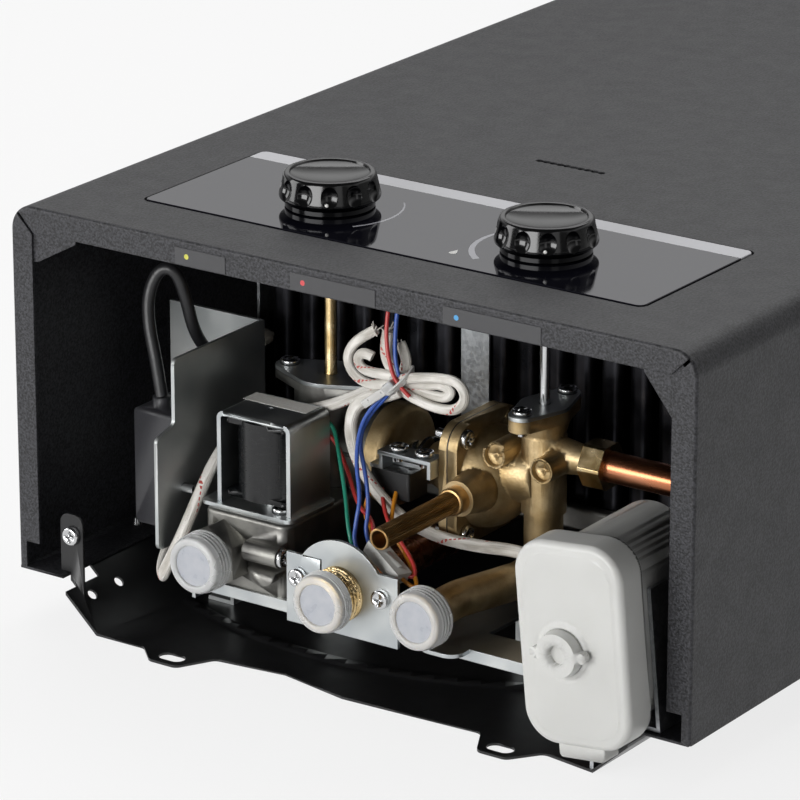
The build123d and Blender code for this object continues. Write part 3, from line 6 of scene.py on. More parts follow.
import bpy
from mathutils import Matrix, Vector

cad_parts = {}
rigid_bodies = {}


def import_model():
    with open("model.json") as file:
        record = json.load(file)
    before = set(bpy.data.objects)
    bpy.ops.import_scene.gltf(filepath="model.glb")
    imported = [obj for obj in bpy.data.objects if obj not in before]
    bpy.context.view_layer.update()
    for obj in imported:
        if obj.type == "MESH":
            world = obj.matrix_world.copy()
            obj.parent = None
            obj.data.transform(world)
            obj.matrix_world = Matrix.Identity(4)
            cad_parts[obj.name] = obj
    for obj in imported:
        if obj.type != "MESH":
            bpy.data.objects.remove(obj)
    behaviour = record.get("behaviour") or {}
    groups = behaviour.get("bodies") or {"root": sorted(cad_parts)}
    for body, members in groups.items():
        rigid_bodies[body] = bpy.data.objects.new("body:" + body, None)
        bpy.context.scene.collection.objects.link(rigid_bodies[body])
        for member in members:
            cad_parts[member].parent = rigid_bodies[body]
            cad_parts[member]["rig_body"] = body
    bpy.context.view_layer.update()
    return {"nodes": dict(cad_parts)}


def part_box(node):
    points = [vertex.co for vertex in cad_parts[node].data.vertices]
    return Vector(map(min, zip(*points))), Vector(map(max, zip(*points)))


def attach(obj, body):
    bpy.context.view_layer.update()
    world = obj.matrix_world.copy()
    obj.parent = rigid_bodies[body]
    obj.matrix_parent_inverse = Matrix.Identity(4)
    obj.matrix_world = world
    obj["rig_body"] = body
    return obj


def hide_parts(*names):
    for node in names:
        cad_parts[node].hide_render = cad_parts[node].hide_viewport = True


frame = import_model()
nodes = frame["nodes"]
bpy.ops.object.select_all(action="DESELECT")

MM = 0.001
# Y of the casing's open end, measured from the wall slots
OPEN_END = 4.7
PANEL_TOP = 164.3
YOKE_TOP = 94.8
GAS_KNOB = (-50.0, 64.5)
WATER_KNOB = (46.0, 64.5)


def at(x, y, z):
    """A place in the part's own millimetres, as a place in the scene."""
    return Vector((x, y + OPEN_END, z)) * MM


# Camera: a long lens, about 35 degrees to the right and 20 degrees above
LENS = 226.6
SENSOR_WIDTH = 36
CAMERA_PLACE = (0.9927, -1.3763, 0.7231)
CAMERA_ABOVE = 19.626
CAMERA_ASIDE = 34.972


def make_camera():
    camera = bpy.data.cameras.new("camera")
    camera.sensor_width = SENSOR_WIDTH
    camera.lens = LENS
    camera.clip_end = 20
    holder = bpy.data.objects.new("camera", camera)
    bpy.context.scene.collection.objects.link(holder)
    holder.location = CAMERA_PLACE
    holder.rotation_euler = (math.radians(90 - CAMERA_ABOVE), 0, math.radians(CAMERA_ASIDE))
    bpy.context.scene.camera = holder


make_camera()


# Materials
MATH = "ShaderNodeMath"
VECTOR_MATH = "ShaderNodeVectorMath"
# Sockets of a mix node that mixes colours
MIX_FIRST = 6
MIX_SECOND = 7
MIX_RESULT = 2


def linear(colour):
    """sRGB hex to linear red, green, blue and alpha."""
    values = []
    for start in (1, 3, 5):
        value = int(colour[start:start + 2], 16) / 255
        values.append(value / 12.92 if value <= 0.04045 else ((value + 0.055) / 1.055) ** 2.4)
    return (*values, 1)


def add_node(tree, kind, settings=None, inputs=None):
    """Adds a node; an input that is a socket or another node is linked, and any other is set."""
    node = tree.nodes.new(kind)
    for name, value in (settings or {}).items():
        setattr(node, name, value)
    for name, value in (inputs or {}).items():
        if isinstance(value, bpy.types.Node):
            value = value.outputs[0]
        if isinstance(value, bpy.types.NodeSocket):
            tree.links.new(value, node.inputs[name])
        else:
            node.inputs[name].default_value = value
    return node


def material(name, colour, roughness, metallic=0.0, **more):
    """A named shader with its plain numbers set, and its node tree."""
    made = bpy.data.materials.new(name)
    made.use_nodes = True
    shader = made.node_tree.nodes["Principled BSDF"]
    shader.inputs["Base Color"].default_value = linear(colour)
    shader.inputs["Roughness"].default_value = roughness
    shader.inputs["Metallic"].default_value = metallic
    for socket, value in more.items():
        shader.inputs[socket.replace("_", " ")].default_value = value
    return made, made.node_tree, shader


def place(tree):
    """Object coordinates, in metres."""
    return tree.nodes.get("Place") or add_node(tree, "ShaderNodeTexCoord", {"name": "Place"})


def grain(tree, millimetres, detail=3.0, stretch=(1, 1, 1)):
    """Noise with grains of a real size."""
    mapped = add_node(tree, "ShaderNodeMapping", {}, {
        "Vector": place(tree).outputs["Object"], "Scale": stretch})
    return add_node(tree, "ShaderNodeTexNoise", {}, {
        "Vector": mapped, "Scale": 1 / (millimetres * MM), "Detail": detail}).outputs["Fac"]


def bump(tree, shader, height, millimetres, strength=1.0, edge=0.0):
    """Raises the surface by a pattern, over edges worn round by a radius in millimetres."""
    made = add_node(tree, "ShaderNodeBump", {}, {
        "Height": height, "Distance": millimetres * MM, "Strength": strength})
    if edge:
        worn = add_node(tree, "ShaderNodeBevel", {"samples": 4}, {"Radius": edge * MM})
        tree.links.new(worn.outputs["Normal"], made.inputs["Normal"])
    tree.links.new(made.outputs["Normal"], shader.inputs["Normal"])


def vary(tree, shader, socket, factor, low, high):
    """Drives a number of the shader between two values."""
    made = add_node(tree, "ShaderNodeMapRange", {}, {
        "Value": factor, "From Min": 0.3, "From Max": 0.7, "To Min": low, "To Max": high})
    tree.links.new(made.outputs["Result"], shader.inputs[socket])


def tint(tree, shader, factor, low, high):
    """Mixes two colours over the noise's middle range."""
    spread = add_node(tree, "ShaderNodeMapRange", {}, {"Value": factor, "From Min": 0.35, "From Max": 0.65})
    mixed = add_node(tree, "ShaderNodeMix", {"data_type": "RGBA"}, {
        "Factor": spread, MIX_FIRST: linear(low), MIX_SECOND: linear(high)})
    tree.links.new(mixed.outputs[MIX_RESULT], shader.inputs["Base Color"])


def print_over(tree, shader, mask, colour):
    """Prints a colour over whatever colour the shader has, where the mask is 1."""
    base = shader.inputs["Base Color"]
    under = base.links[0].from_socket if base.is_linked else base.default_value
    mixed = add_node(tree, "ShaderNodeMix", {"data_type": "RGBA"}, {
        "Factor": mask, MIX_FIRST: under, MIX_SECOND: linear(colour)})
    tree.links.new(mixed.outputs[MIX_RESULT], base)


def powder_coat():
    """Polyester powder coat: charcoal, with the fine pebbled grain of a sand-texture finish."""
    made, tree, shader = material("sand_powder_coat", "#28272a", 0.5, Specular_IOR_Level=0.4)
    pebbles = grain(tree, 0.9, 2.0)
    patches = grain(tree, 9.0, 2.0)
    tint(tree, shader, pebbles, "#0f0f11", "#37373b")
    vary(tree, shader, "Roughness", patches, 0.46, 0.52)
    bump(tree, shader, pebbles, 0.24, 0.9, 0.6)
    return made


def dipped_enamel():
    """Dipped black enamel on the pressed back plate: smooth and slightly wavy."""
    made, tree, shader = material("dipped_enamel", "#171718", 0.34)
    waves = grain(tree, 14.0, 2.0)
    vary(tree, shader, "Roughness", waves, 0.28, 0.42)
    bump(tree, shader, waves, 0.25, 0.3, 0.4)
    return made


BAND_WIDTH = 9.5
# Each printed scale: centre, radius, first and last angle in degrees, and width at either end
SCALES = (
    (GAS_KNOB, 27.6, -37, 41, 1.3, 0.5),
    (WATER_KNOB, 27.0, 147, 235, 1.0, 2.6),
)


def scale_arc(tree, centre, radius, first, last, first_width, last_width):
    """1 on a printed arc that tapers from one end to the other."""
    from_centre = add_node(tree, VECTOR_MATH, {"operation": "SUBTRACT"}, {
        0: place(tree).outputs["Object"], 1: at(*centre, 0)})
    flat = add_node(tree, VECTOR_MATH, {"operation": "MULTIPLY"}, {0: from_centre, 1: (1, 1, 0)})
    reach = add_node(tree, VECTOR_MATH, {"operation": "LENGTH"}, {0: flat})
    # The angle is read from the arc's own middle, so it never wraps
    middle = math.radians((first + last) / 2)
    ahead = add_node(tree, VECTOR_MATH, {"operation": "DOT_PRODUCT"}, {
        0: flat, 1: (math.cos(middle), math.sin(middle), 0)})
    aside = add_node(tree, VECTOR_MATH, {"operation": "DOT_PRODUCT"}, {
        0: flat, 1: (-math.sin(middle), math.cos(middle), 0)})
    angle = add_node(tree, MATH, {"operation": "ARCTAN2"}, {
        0: aside.outputs["Value"], 1: ahead.outputs["Value"]})
    half = math.radians(last - first) / 2
    inside = add_node(tree, MATH, {"operation": "COMPARE"}, {0: angle, 1: 0.0, 2: half})
    width = add_node(tree, "ShaderNodeMapRange", {}, {
        "Value": angle, "From Min": -half, "From Max": half,
        "To Min": first_width / 2 * MM, "To Max": last_width / 2 * MM})
    on_arc = add_node(tree, MATH, {"operation": "COMPARE"}, {
        0: reach.outputs["Value"], 1: radius * MM, 2: width})
    return add_node(tree, MATH, {"operation": "MULTIPLY"}, {0: inside, 1: on_arc})


def panel_acrylic():
    """Back-painted acrylic: gloss black, with a silver band along its far edge and pale printed scales."""
    made, tree, shader = material("back_painted_acrylic", "#0d0d14", 0.05, IOR=1.58,
                                  Specular_Tint=(0.9, 0.9, 1, 1))
    split = add_node(tree, "ShaderNodeSeparateXYZ", {}, {"Vector": place(tree).outputs["Object"]})
    band_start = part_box("control_panel")[1].y - BAND_WIDTH * MM
    band = add_node(tree, MATH, {"operation": "GREATER_THAN"}, {0: split.outputs["Y"], 1: band_start})
    print_over(tree, shader, band, "#cfcfd3")
    for scale in SCALES:
        print_over(tree, shader, scale_arc(tree, *scale), "#a3a3a9")
    smudge = grain(tree, 22.0, 2.0)
    vary(tree, shader, "Roughness", smudge, 0.03, 0.08)
    return made


def gloss_phenolic():
    """Moulded and polished black knob plastic."""
    made, tree, shader = material("polished_black_plastic", "#030304", 0.12)
    swirl = grain(tree, 12.0, 1.0)
    vary(tree, shader, "Roughness", swirl, 0.1, 0.16)
    return made


def pointer_paint():
    """White paint in the knob's small pointer marks."""
    made, tree, shader = material("white_pointer_paint", "#e3e2df", 0.4)
    skin = grain(tree, 0.8, 2.0)
    vary(tree, shader, "Roughness", skin, 0.34, 0.5)
    return made


def sand_cast_brass():
    """Sand-cast brass, tumbled: dull brown with a coarse skin that catches the light."""
    made, tree, shader = material("sand_cast_brass", "#b09a72", 0.5, 1.0)
    skin = grain(tree, 0.8, 3.0)
    stain = grain(tree, 10.0, 3.0)
    tint(tree, shader, stain, "#a18a62", "#c2ad87")
    vary(tree, shader, "Roughness", skin, 0.42, 0.58)
    bump(tree, shader, skin, 0.12, 0.6, 0.5)
    return made


def turned_brass():
    """Turned brass: bright yellow and smooth, with faint rings from the tool."""
    made, tree, shader = material("turned_brass", "#c9b182", 0.22, 1.0)
    lines = grain(tree, 6.0, 2.0)
    tint(tree, shader, lines, "#bda270", "#d6c096")
    vary(tree, shader, "Roughness", lines, 0.17, 0.28)
    bump(tree, shader, lines, 0.02, 0.3, 0.3)
    return made


def dark_brass():
    """Drain spout brass, browned by handling."""
    made, tree, shader = material("browned_brass", "#a8875a", 0.34, 1.0)
    stain = grain(tree, 12.0, 2.0)
    tint(tree, shader, stain, "#9b7a4e", "#b59566")
    vary(tree, shader, "Roughness", stain, 0.3, 0.4)
    return made


def zinc_plate():
    """Zinc-plated steel sheet: pale and satin, with soft clouds."""
    made, tree, shader = material("zinc_plated_sheet", "#bcc0c1", 0.36, 1.0)
    clouds = grain(tree, 18.0, 2.0)
    fine = grain(tree, 1.2, 2.0)
    tint(tree, shader, clouds, "#b2b7b9", "#c8cbca")
    vary(tree, shader, "Roughness", clouds, 0.32, 0.42)
    bump(tree, shader, fine, 0.01, 0.4, 0.35)
    return made


def satin_steel():
    """Cold-rolled steel of the side bracket: grey and satin."""
    made, tree, shader = material("satin_steel_sheet", "#b6b9b9", 0.48, 1.0)
    clouds = grain(tree, 24.0, 2.0)
    tint(tree, shader, clouds, "#acb0b0", "#c0c2c1")
    vary(tree, shader, "Roughness", clouds, 0.44, 0.54)
    return made


def galvanised():
    """Hot-dip galvanised sheet: grey with the cells of its spangle."""
    made, tree, shader = material("galvanised_sheet", "#a8abae", 0.4, 1.0)
    cells = add_node(tree, "ShaderNodeTexVoronoi", {}, {
        "Vector": place(tree).outputs["Object"], "Scale": 1 / (1.6 * MM)})
    tint(tree, shader, cells.outputs["Color"], "#abaeb1", "#bbbec0")
    vary(tree, shader, "Roughness", cells.outputs["Distance"], 0.34, 0.46)
    return made


def die_cast_zinc():
    """Die-cast zinc alloy: grey, with a soft blasted skin."""
    made, tree, shader = material("die_cast_zinc", "#8b8a86", 0.42, 1.0)
    skin = grain(tree, 0.9, 2.0)
    clouds = grain(tree, 12.0, 2.0)
    tint(tree, shader, clouds, "#72716e", "#92918c")
    vary(tree, shader, "Roughness", skin, 0.36, 0.48)
    bump(tree, shader, skin, 0.05, 0.5, 0.5)
    return made


def bright_steel():
    """Nickel-plated screws and spindles: bright, nearly clean."""
    made, tree, shader = material("nickel_plated_steel", "#c9cacb", 0.15, 1.0)
    scuffs = grain(tree, 1.6, 3.0)
    vary(tree, shader, "Roughness", scuffs, 0.1, 0.22)
    bump(tree, shader, scuffs, 0.01, 0.3, 0.2)
    return made


def drawn_copper():
    """Drawn copper tube: warm satin with a wide highlight."""
    made, tree, shader = material("drawn_copper", "#c07c58", 0.26, 1.0)
    clouds = grain(tree, 8.0, 2.0, (0.2, 1, 1))
    tint(tree, shader, clouds, "#b06c49", "#cd8d6b")
    vary(tree, shader, "Roughness", clouds, 0.22, 0.32)
    return made


def burner_steel():
    """Blackened stainless burner bars."""
    made, tree, shader = material("blackened_stainless", "#26262a", 0.34, 1.0)
    heat = grain(tree, 18.0, 3.0)
    tint(tree, shader, heat, "#1b1b1e", "#37373b")
    vary(tree, shader, "Roughness", heat, 0.26, 0.42)
    return made


def polypropylene():
    """Moulded natural polypropylene: warm white and a little waxy."""
    made, tree, shader = material("moulded_polypropylene", "#c1c1be", 0.36, Subsurface_Weight=0.12,
                                  Subsurface_Radius=(0.003, 0.003, 0.0025), Subsurface_Scale=1.0)
    flow = grain(tree, 30.0, 2.0)
    tint(tree, shader, flow, "#bebebb", "#c4c4c1")
    vary(tree, shader, "Roughness", flow, 0.33, 0.4)
    return made


def soft_polyethylene():
    """Translucent polyethylene caps: milky, letting what is under them show faintly."""
    made, tree, shader = material("milky_polyethylene", "#e3e4e4", 0.28, Transmission_Weight=0.45,
                                  Subsurface_Weight=0.3, Subsurface_Radius=(0.003, 0.003, 0.003),
                                  Subsurface_Scale=1.0, IOR=1.5)
    flow = grain(tree, 9.0, 2.0)
    vary(tree, shader, "Roughness", flow, 0.24, 0.34)
    return made


def thin_web():
    """The caps' thin flat web, with the dark bore under it painted into its colour as a blue-grey shade."""
    made, tree, shader = material("thin_polyethylene_web", "#a4a7ad", 0.3, IOR=1.5)
    flow = grain(tree, 4.0, 2.0)
    tint(tree, shader, flow, "#a0a3aa", "#abadb2")
    vary(tree, shader, "Roughness", flow, 0.26, 0.36)
    return made


def black_nylon():
    """Moulded black nylon: satin with a fine spark-eroded grain."""
    made, tree, shader = material("moulded_black_nylon", "#141415", 0.38)
    spark = grain(tree, 0.6, 2.0)
    vary(tree, shader, "Roughness", spark, 0.32, 0.44)
    bump(tree, shader, spark, 0.03, 0.4, 0.5)
    return made


def grey_nylon():
    """Dark grey moulded nylon of the igniter box, with rounded and lighter edges."""
    made, tree, shader = material("moulded_grey_nylon", "#2d2d30", 0.36)
    spark = grain(tree, 0.7, 2.0)
    vary(tree, shader, "Roughness", spark, 0.3, 0.42)
    bump(tree, shader, spark, 0.03, 0.4, 1.2)
    return made


def coil_wrap():
    """Black tape round the coil, with a soft gloss."""
    made, tree, shader = material("black_polyester_tape", "#08090b", 0.24)
    wraps = grain(tree, 4.0, 2.0, (1, 1, 3))
    vary(tree, shader, "Roughness", wraps, 0.2, 0.3)
    return made


def silicone_lead():
    """Thick silicone insulation on the spark lead: black and satin."""
    made, tree, shader = material("black_silicone", "#1a1a1c", 0.4)
    skin = grain(tree, 1.5, 2.0)
    vary(tree, shader, "Roughness", skin, 0.36, 0.46)
    return made


def wire_insulation(name, colour):
    """Extruded PVC on thin wires: strong colour and a soft gloss."""
    made, tree, shader = material(name, colour, 0.3)
    skin = grain(tree, 2.0, 2.0)
    vary(tree, shader, "Roughness", skin, 0.26, 0.38)
    return made


def ripple(tree, own, along, around):
    """A wave over a sleeve's own map, with its radians to the millimetre along the sleeve and round it."""
    slant = add_node(tree, VECTOR_MATH, {"operation": "DOT_PRODUCT"}, {0: own, 1: (along, around, 0)})
    return add_node(tree, MATH, {"operation": "SINE"}, {0: slant.outputs["Value"]})


def repeat(tree, own, along, around):
    """A ramp from 0 to 1 that repeats over a sleeve's own map, with its turns to the millimetre."""
    slant = add_node(tree, VECTOR_MATH, {"operation": "DOT_PRODUCT"}, {0: own, 1: (along, around, 0)})
    return add_node(tree, MATH, {"operation": "FRACT"}, {0: slant.outputs["Value"]})


def glass_sleeve():
    """Braided glass-fibre sleeve: off-white, with crossing threads, one dashed red tracer, and painted
    shade in the dips of its folds.
    Its own map is in millimetres: U along the sleeve and V round it. The braid is drawn coarser than it
    is, so that it shows."""
    made, tree, shader = material("braided_glass_sleeve", "#d0cbc2", 0.62)
    own = add_node(tree, "ShaderNodeUVMap", {"uv_map": "UVMap"})
    one_way, other_way = [
        add_node(tree, MATH, {"operation": "ABSOLUTE"}, {0: ripple(tree, own, 3.4, around)})
        for around in (-3.06, 3.06)]
    braid = add_node(tree, MATH, {"operation": "MAXIMUM"}, {0: one_way, 1: other_way})
    creases = add_node(tree, VECTOR_MATH, {"operation": "MULTIPLY"}, {0: own, 1: (0.06, 0.5, 0)})
    folds_and_painted_shade = add_node(tree, "ShaderNodeTexNoise", {}, {"Vector": creases, "Scale": 1.0, "Detail": 3.0})
    layers = add_node(tree, "ShaderNodeCombineXYZ", {}, {
        "X": braid, "Y": ripple(tree, own, 0, 7.5), "Z": folds_and_painted_shade.outputs["Fac"]})
    height = add_node(tree, VECTOR_MATH, {"operation": "DOT_PRODUCT"}, {0: layers, 1: (0.35, 0.12, 1.6)})
    # Painted shade: the braid's colour is darker where its folds dip and paler on their crests, following
    # the bump's height.
    tint(tree, shader, folds_and_painted_shade.outputs["Fac"], "#a9a49b", "#dfdcd6")
    # The tracer winds slowly round the sleeve, in dashes of about 1 mm
    near = add_node(tree, MATH, {"operation": "COMPARE"}, {
        0: repeat(tree, own, 0.022, 0.06), 1: 0.5, 2: 0.022})
    dash = add_node(tree, MATH, {"operation": "GREATER_THAN"}, {
        0: repeat(tree, own, 0.55, 0), 1: 0.4})
    tracer = add_node(tree, MATH, {"operation": "MULTIPLY"}, {0: near, 1: dash})
    print_over(tree, shader, tracer, "#a8423b")
    bump(tree, shader, height.outputs["Value"], 0.55, 0.8)
    return made


# Each strip's dot: x, z and colour
STRIP_DOTS = ((-67.8, 158.0, "#b9b64b"), (-15.7, 157.9, "#c2474a"), (50.9, 157.7, "#4a92c4"))
DOT_RADIUS = 1.0


def printed_strip():
    """Vinyl strips stuck on the flange: a little lighter than the coat, each with a small coloured dot."""
    made, tree, shader = material("vinyl_strip", "#39393b", 0.4)
    flat = add_node(tree, VECTOR_MATH, {"operation": "MULTIPLY"}, {
        0: place(tree).outputs["Object"], 1: (1, 0, 1)})
    for dot_x, dot_z, colour in STRIP_DOTS:
        reach = add_node(tree, VECTOR_MATH, {"operation": "DISTANCE"}, {
            0: flat, 1: (dot_x * MM, 0, dot_z * MM)})
        dot = add_node(tree, MATH, {"operation": "LESS_THAN"}, {
            0: reach.outputs["Value"], 1: DOT_RADIUS * MM})
        print_over(tree, shader, dot, colour)
    skin = grain(tree, 3.0, 2.0)
    vary(tree, shader, "Roughness", skin, 0.36, 0.46)
    return made


def paper_label():
    """Blank white paper label."""
    made, tree, shader = material("white_label_paper", "#d9d8d2", 0.55)
    fibres = grain(tree, 1.0, 3.0)
    tint(tree, shader, fibres, "#d2d1cb", "#dfded9")
    vary(tree, shader, "Roughness", fibres, 0.5, 0.62)
    return made


def milky_nylon():
    """Translucent nylon cable tie."""
    made, tree, shader = material("natural_nylon_tie", "#dcdcda", 0.3, Transmission_Weight=0.45, IOR=1.5)
    flow = grain(tree, 3.0, 2.0)
    vary(tree, shader, "Roughness", flow, 0.26, 0.36)
    return made


def ceramic():
    """Glazed alumina of the spark electrode."""
    made, tree, shader = material("glazed_alumina", "#dcd6c8", 0.22)
    skin = grain(tree, 3.0, 2.0)
    vary(tree, shader, "Roughness", skin, 0.18, 0.3)
    return made


coat = powder_coat()
enamel = dipped_enamel()
acrylic = panel_acrylic()
knob_plastic = gloss_phenolic()
pointer = pointer_paint()
cast_brass = sand_cast_brass()
bright_brass = turned_brass()
spout_brass = dark_brass()
zinc = zinc_plate()
steel = satin_steel()
spangled = galvanised()
casting = die_cast_zinc()
nickel = bright_steel()
copper = drawn_copper()
burner = burner_steel()
white_plastic = polypropylene()
milky_plastic = soft_polyethylene()
web = thin_web()
nylon = black_nylon()
box_nylon = grey_nylon()
tape = coil_wrap()
silicone = silicone_lead()
sleeve_braid = glass_sleeve()
strip = printed_strip()
paper = paper_label()
tie_nylon = milky_nylon()
alumina = ceramic()
blue = wire_insulation("blue_insulation", "#2b4d9a")
red = wire_insulation("red_insulation", "#a8302d")
green = wire_insulation("green_insulation", "#1c7a62")
orange = wire_insulation("orange_insulation", "#c98323")

DRESS = {
    coat: ["front_cover", "cover_gussets"],
    enamel: ["back_plate"],
    acrylic: ["control_panel"],
    strip: ["label_strips"],
    cast_brass: ["water_valve_body", "water_valve_cover", "cold_inlet", "gas_valve_end_cap",
                 "blanking_plugs"],
    bright_brass: ["gas_cock", "hot_outlet", "union_nut"],
    spout_brass: ["drain_nozzle"],
    zinc: ["spindle_plates", "solenoid_base", "solenoid_yoke", "hot_plate", "cross_bracket",
           "microswitch_bracket"],
    steel: ["side_bracket"],
    spangled: ["battery_bracket", "burner_tray", "draught_hood", "flue_collar"],
    casting: ["gas_valve_body", "gas_bonnet", "gas_manifold", "gas_inlet_union"],
    nickel: ["assembly_screws", "water_regulator", "solenoid_plunger", "push_rod", "microswitch_lever",
             "battery_contacts"],
    copper: ["feed_pipe", "hot_pipe", "combustion_chamber", "heat_exchanger"],
    burner: ["burner_bars"],
    white_plastic: ["battery_box", "battery_cap", "battery_lock", "wire_connector"],
    milky_plastic: ["gas_cap", "hot_cap", "cold_cap"],
    knob_plastic: ["gas_knob", "water_knob"],
    nylon: ["panel_carrier", "microswitch", "diaphragm", "battery_cells"],
    box_nylon: ["igniter_box"],
    tape: ["solenoid_coil"],
    silicone: ["igniter_lead"],
    alumina: ["electrode"],
    sleeve_braid: ["wiring_loom"],
    blue: ["blue_wires"],
    red: ["red_wires"],
}
# Nodes with curved faces: a merged copy with smooth shading takes their place
CURVED = [
    "water_valve_body", "water_valve_cover", "cold_inlet", "gas_valve_end_cap", "gas_cock", "hot_outlet",
    "union_nut", "blanking_plugs", "solenoid_yoke", "hot_plate", "spindle_plates", "side_bracket",
    "gas_valve_body", "gas_bonnet", "gas_inlet_union", "gas_manifold", "assembly_screws", "water_regulator",
    "feed_pipe", "hot_pipe", "battery_box", "battery_cap", "battery_lock", "wire_connector", "igniter_box",
    "solenoid_coil", "electrode", "front_cover", "back_plate", "flue_collar", "draught_hood", "microswitch",
    "microswitch_bracket", "push_rod",
]


# Shaping
def select_only(piece):
    bpy.ops.object.select_all(action="DESELECT")
    piece.select_set(True)
    bpy.context.view_layer.objects.active = piece


def settle(piece, name, finish, body, replaced=(), angle=35):
    """Puts a piece's place into its mesh, shades it smooth, and gives it its finish and its body."""
    select_only(piece)
    piece.name = name
    bpy.ops.object.transform_apply(location=True, rotation=True, scale=True)
    bpy.ops.object.shade_smooth_by_angle(angle=math.radians(angle))
    flatten = piece.modifiers.new("flatten", "WEIGHTED_NORMAL")
    flatten.keep_sharp = True
    bpy.ops.object.modifier_apply(modifier=flatten.name)
    if not piece.data.materials:
        piece.data.materials.append(finish)
    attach(piece, body)
    if replaced:
        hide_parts(*replaced)
    bpy.ops.object.select_all(action="DESELECT")
    return piece


def merged_copy(name):
    """A copy of a node's mesh with its doubles merged."""
    piece = bpy.data.objects.new(name + "_smooth", nodes[name].data.copy())
    bpy.context.scene.collection.objects.link(piece)
    select_only(piece)
    bpy.ops.object.mode_set(mode="EDIT")
    bpy.ops.mesh.select_all(action="SELECT")
    bpy.ops.mesh.remove_doubles(threshold=0.005 * MM)
    bpy.ops.object.mode_set(mode="OBJECT")
    return piece


def cut(piece, cutter):
    """Cuts one closed piece out of another."""
    select_only(piece)
    modifier = piece.modifiers.new("cut", "BOOLEAN")
    modifier.operation = "DIFFERENCE"
    modifier.object = cutter
    bpy.ops.object.modifier_apply(modifier=modifier.name)
    bpy.data.objects.remove(cutter)


def turned(profile, sides=96):
    """A turned shape on the Z axis: a disc drawn out through each distance and radius of the profile."""
    bpy.ops.object.select_all(action="DESELECT")
    distance, radius = profile[0]
    bpy.ops.mesh.primitive_circle_add(vertices=sides, radius=radius * MM, fill_type="NGON",
                                      location=(0, 0, 0))
    piece = bpy.context.object
    bpy.ops.object.mode_set(mode="EDIT")
    bpy.ops.mesh.select_all(action="SELECT")
    bpy.ops.transform.translate(value=(0, 0, distance * MM))
    for next_distance, next_radius in profile[1:]:
        rise = (next_distance - distance) * MM
        share = next_radius / radius
        bpy.ops.mesh.extrude_region_move(TRANSFORM_OT_translate={"value": (0, 0, rise)})
        bpy.ops.transform.resize(value=(share, share, 1), center_override=(0, 0, next_distance * MM))
        distance, radius = next_distance, next_radius
    bpy.ops.mesh.select_all(action="SELECT")
    bpy.ops.mesh.normals_make_consistent(inside=False)
    bpy.ops.object.mode_set(mode="OBJECT")
    return piece


# Control knobs
KNOB_BASE = 164.6
KNOB_PROFILE = (
    (9.0, 2.45), (0.0, 2.45), (0.0, 16.6), (0.3, 16.9), (1.9, 16.9), (2.5, 17.3), (3.3, 18.6),
    (3.7, 18.95), (4.3, 19.1), (5.2, 18.95), (11.9, 17.45), (12.6, 17.15), (13.05, 16.7),
    (13.2, 16.2), (13.2, 15.5), (13.05, 15.1), (12.7, 14.9), (12.3, 14.75), (12.15, 14.5),
    (11.7, 13.0), (11.2, 10.5), (10.85, 7.5), (10.65, 4.0), (10.6, 0.8))
KNOB_DIMPLES = 12
# A dimple is cut by an egg, whose middle is outside the flank and which leans as the flank does
DIMPLE_REACH = 21.35
DIMPLE_HEIGHT = 8.6
DIMPLE_RADII = (4.5, 4.9, 5.7)
FLANK_LEAN = math.radians(11)
# The knobs stand turned a little, so that their pointer marks look at the camera
KNOB_TURN = 5
POINTER_ANGLE = -58
# Each pointer mark: name, distance from the axis, height and radius
POINTER_MARKS = (("top_mark", 11.6, 11.2, 0.75), ("side_mark", 19.0, 5.3, 0.7))


def knob(name, centre):
    """A knob with a dished top and a ring of thumb dimples."""
    piece = turned(KNOB_PROFILE, 144)
    for index in range(KNOB_DIMPLES):
        angle = math.radians(index * 360 / KNOB_DIMPLES + KNOB_TURN)
        bpy.ops.object.select_all(action="DESELECT")
        centre_out = Vector((math.cos(angle), math.sin(angle), 0)) * DIMPLE_REACH * MM
        bpy.ops.mesh.primitive_uv_sphere_add(segments=48, ring_count=32, radius=1 * MM,
                                             location=centre_out + Vector((0, 0, DIMPLE_HEIGHT * MM)),
                                             rotation=(0, -FLANK_LEAN, angle))
        dimple = bpy.context.object
        dimple.scale = DIMPLE_RADII
        bpy.ops.object.transform_apply(location=True, rotation=True, scale=True)
        cut(piece, dimple)
    piece.location = at(*centre, KNOB_BASE)
    body = name + "_body"
    settle(piece, name + "_moulding", knob_plastic, body, (name,), 32)
    angle = math.radians(POINTER_ANGLE)
    for label, reach, height, size in POINTER_MARKS:
        mark = turned((
            (-0.5, size * 0.7), (-0.1, size), (0.1, size * 0.95), (0.25, size * 0.6), (0.3, 0.1)), 24)
        if label == "side_mark":
            mark.rotation_euler = (0, math.radians(90), angle)
        mark.location = at(centre[0] + reach * math.cos(angle), centre[1] + reach * math.sin(angle),
                           KNOB_BASE + height)
        settle(mark, name + "_" + label, pointer, body, (), 50)


# Caps over the three ports
CAP_PROFILE = (
    (7.3, 10.5), (0.0, 10.7), (0.0, 11.45), (0.4, 11.6), (0.9, 11.6), (1.3, 11.15), (1.8, 11.15),
    (2.2, 11.55), (2.6, 11.55), (3.0, 11.1), (3.5, 11.1), (3.9, 11.5), (4.3, 11.5), (4.7, 11.05),
    (5.2, 11.05), (5.6, 11.4), (6.0, 11.4), (6.4, 11.05), (7.9, 10.9), (8.7, 10.6), (9.15, 10.0),
    (9.2, 9.4), (9.2, 8.6), (9.0, 8.1), (8.6, 7.85), (8.25, 7.8))
# Each cap: the port's x, the y of its front, and how far its skirt is cut back
CAPS = {"gas_cap": (-60, -9.7, 0), "hot_cap": (0, -14.8, 2.8), "cold_cap": (38, -8.4, 0)}
PORT_Z = 42
CAP_LENGTH = 9.2
SKIRT_LENGTH = 6.4


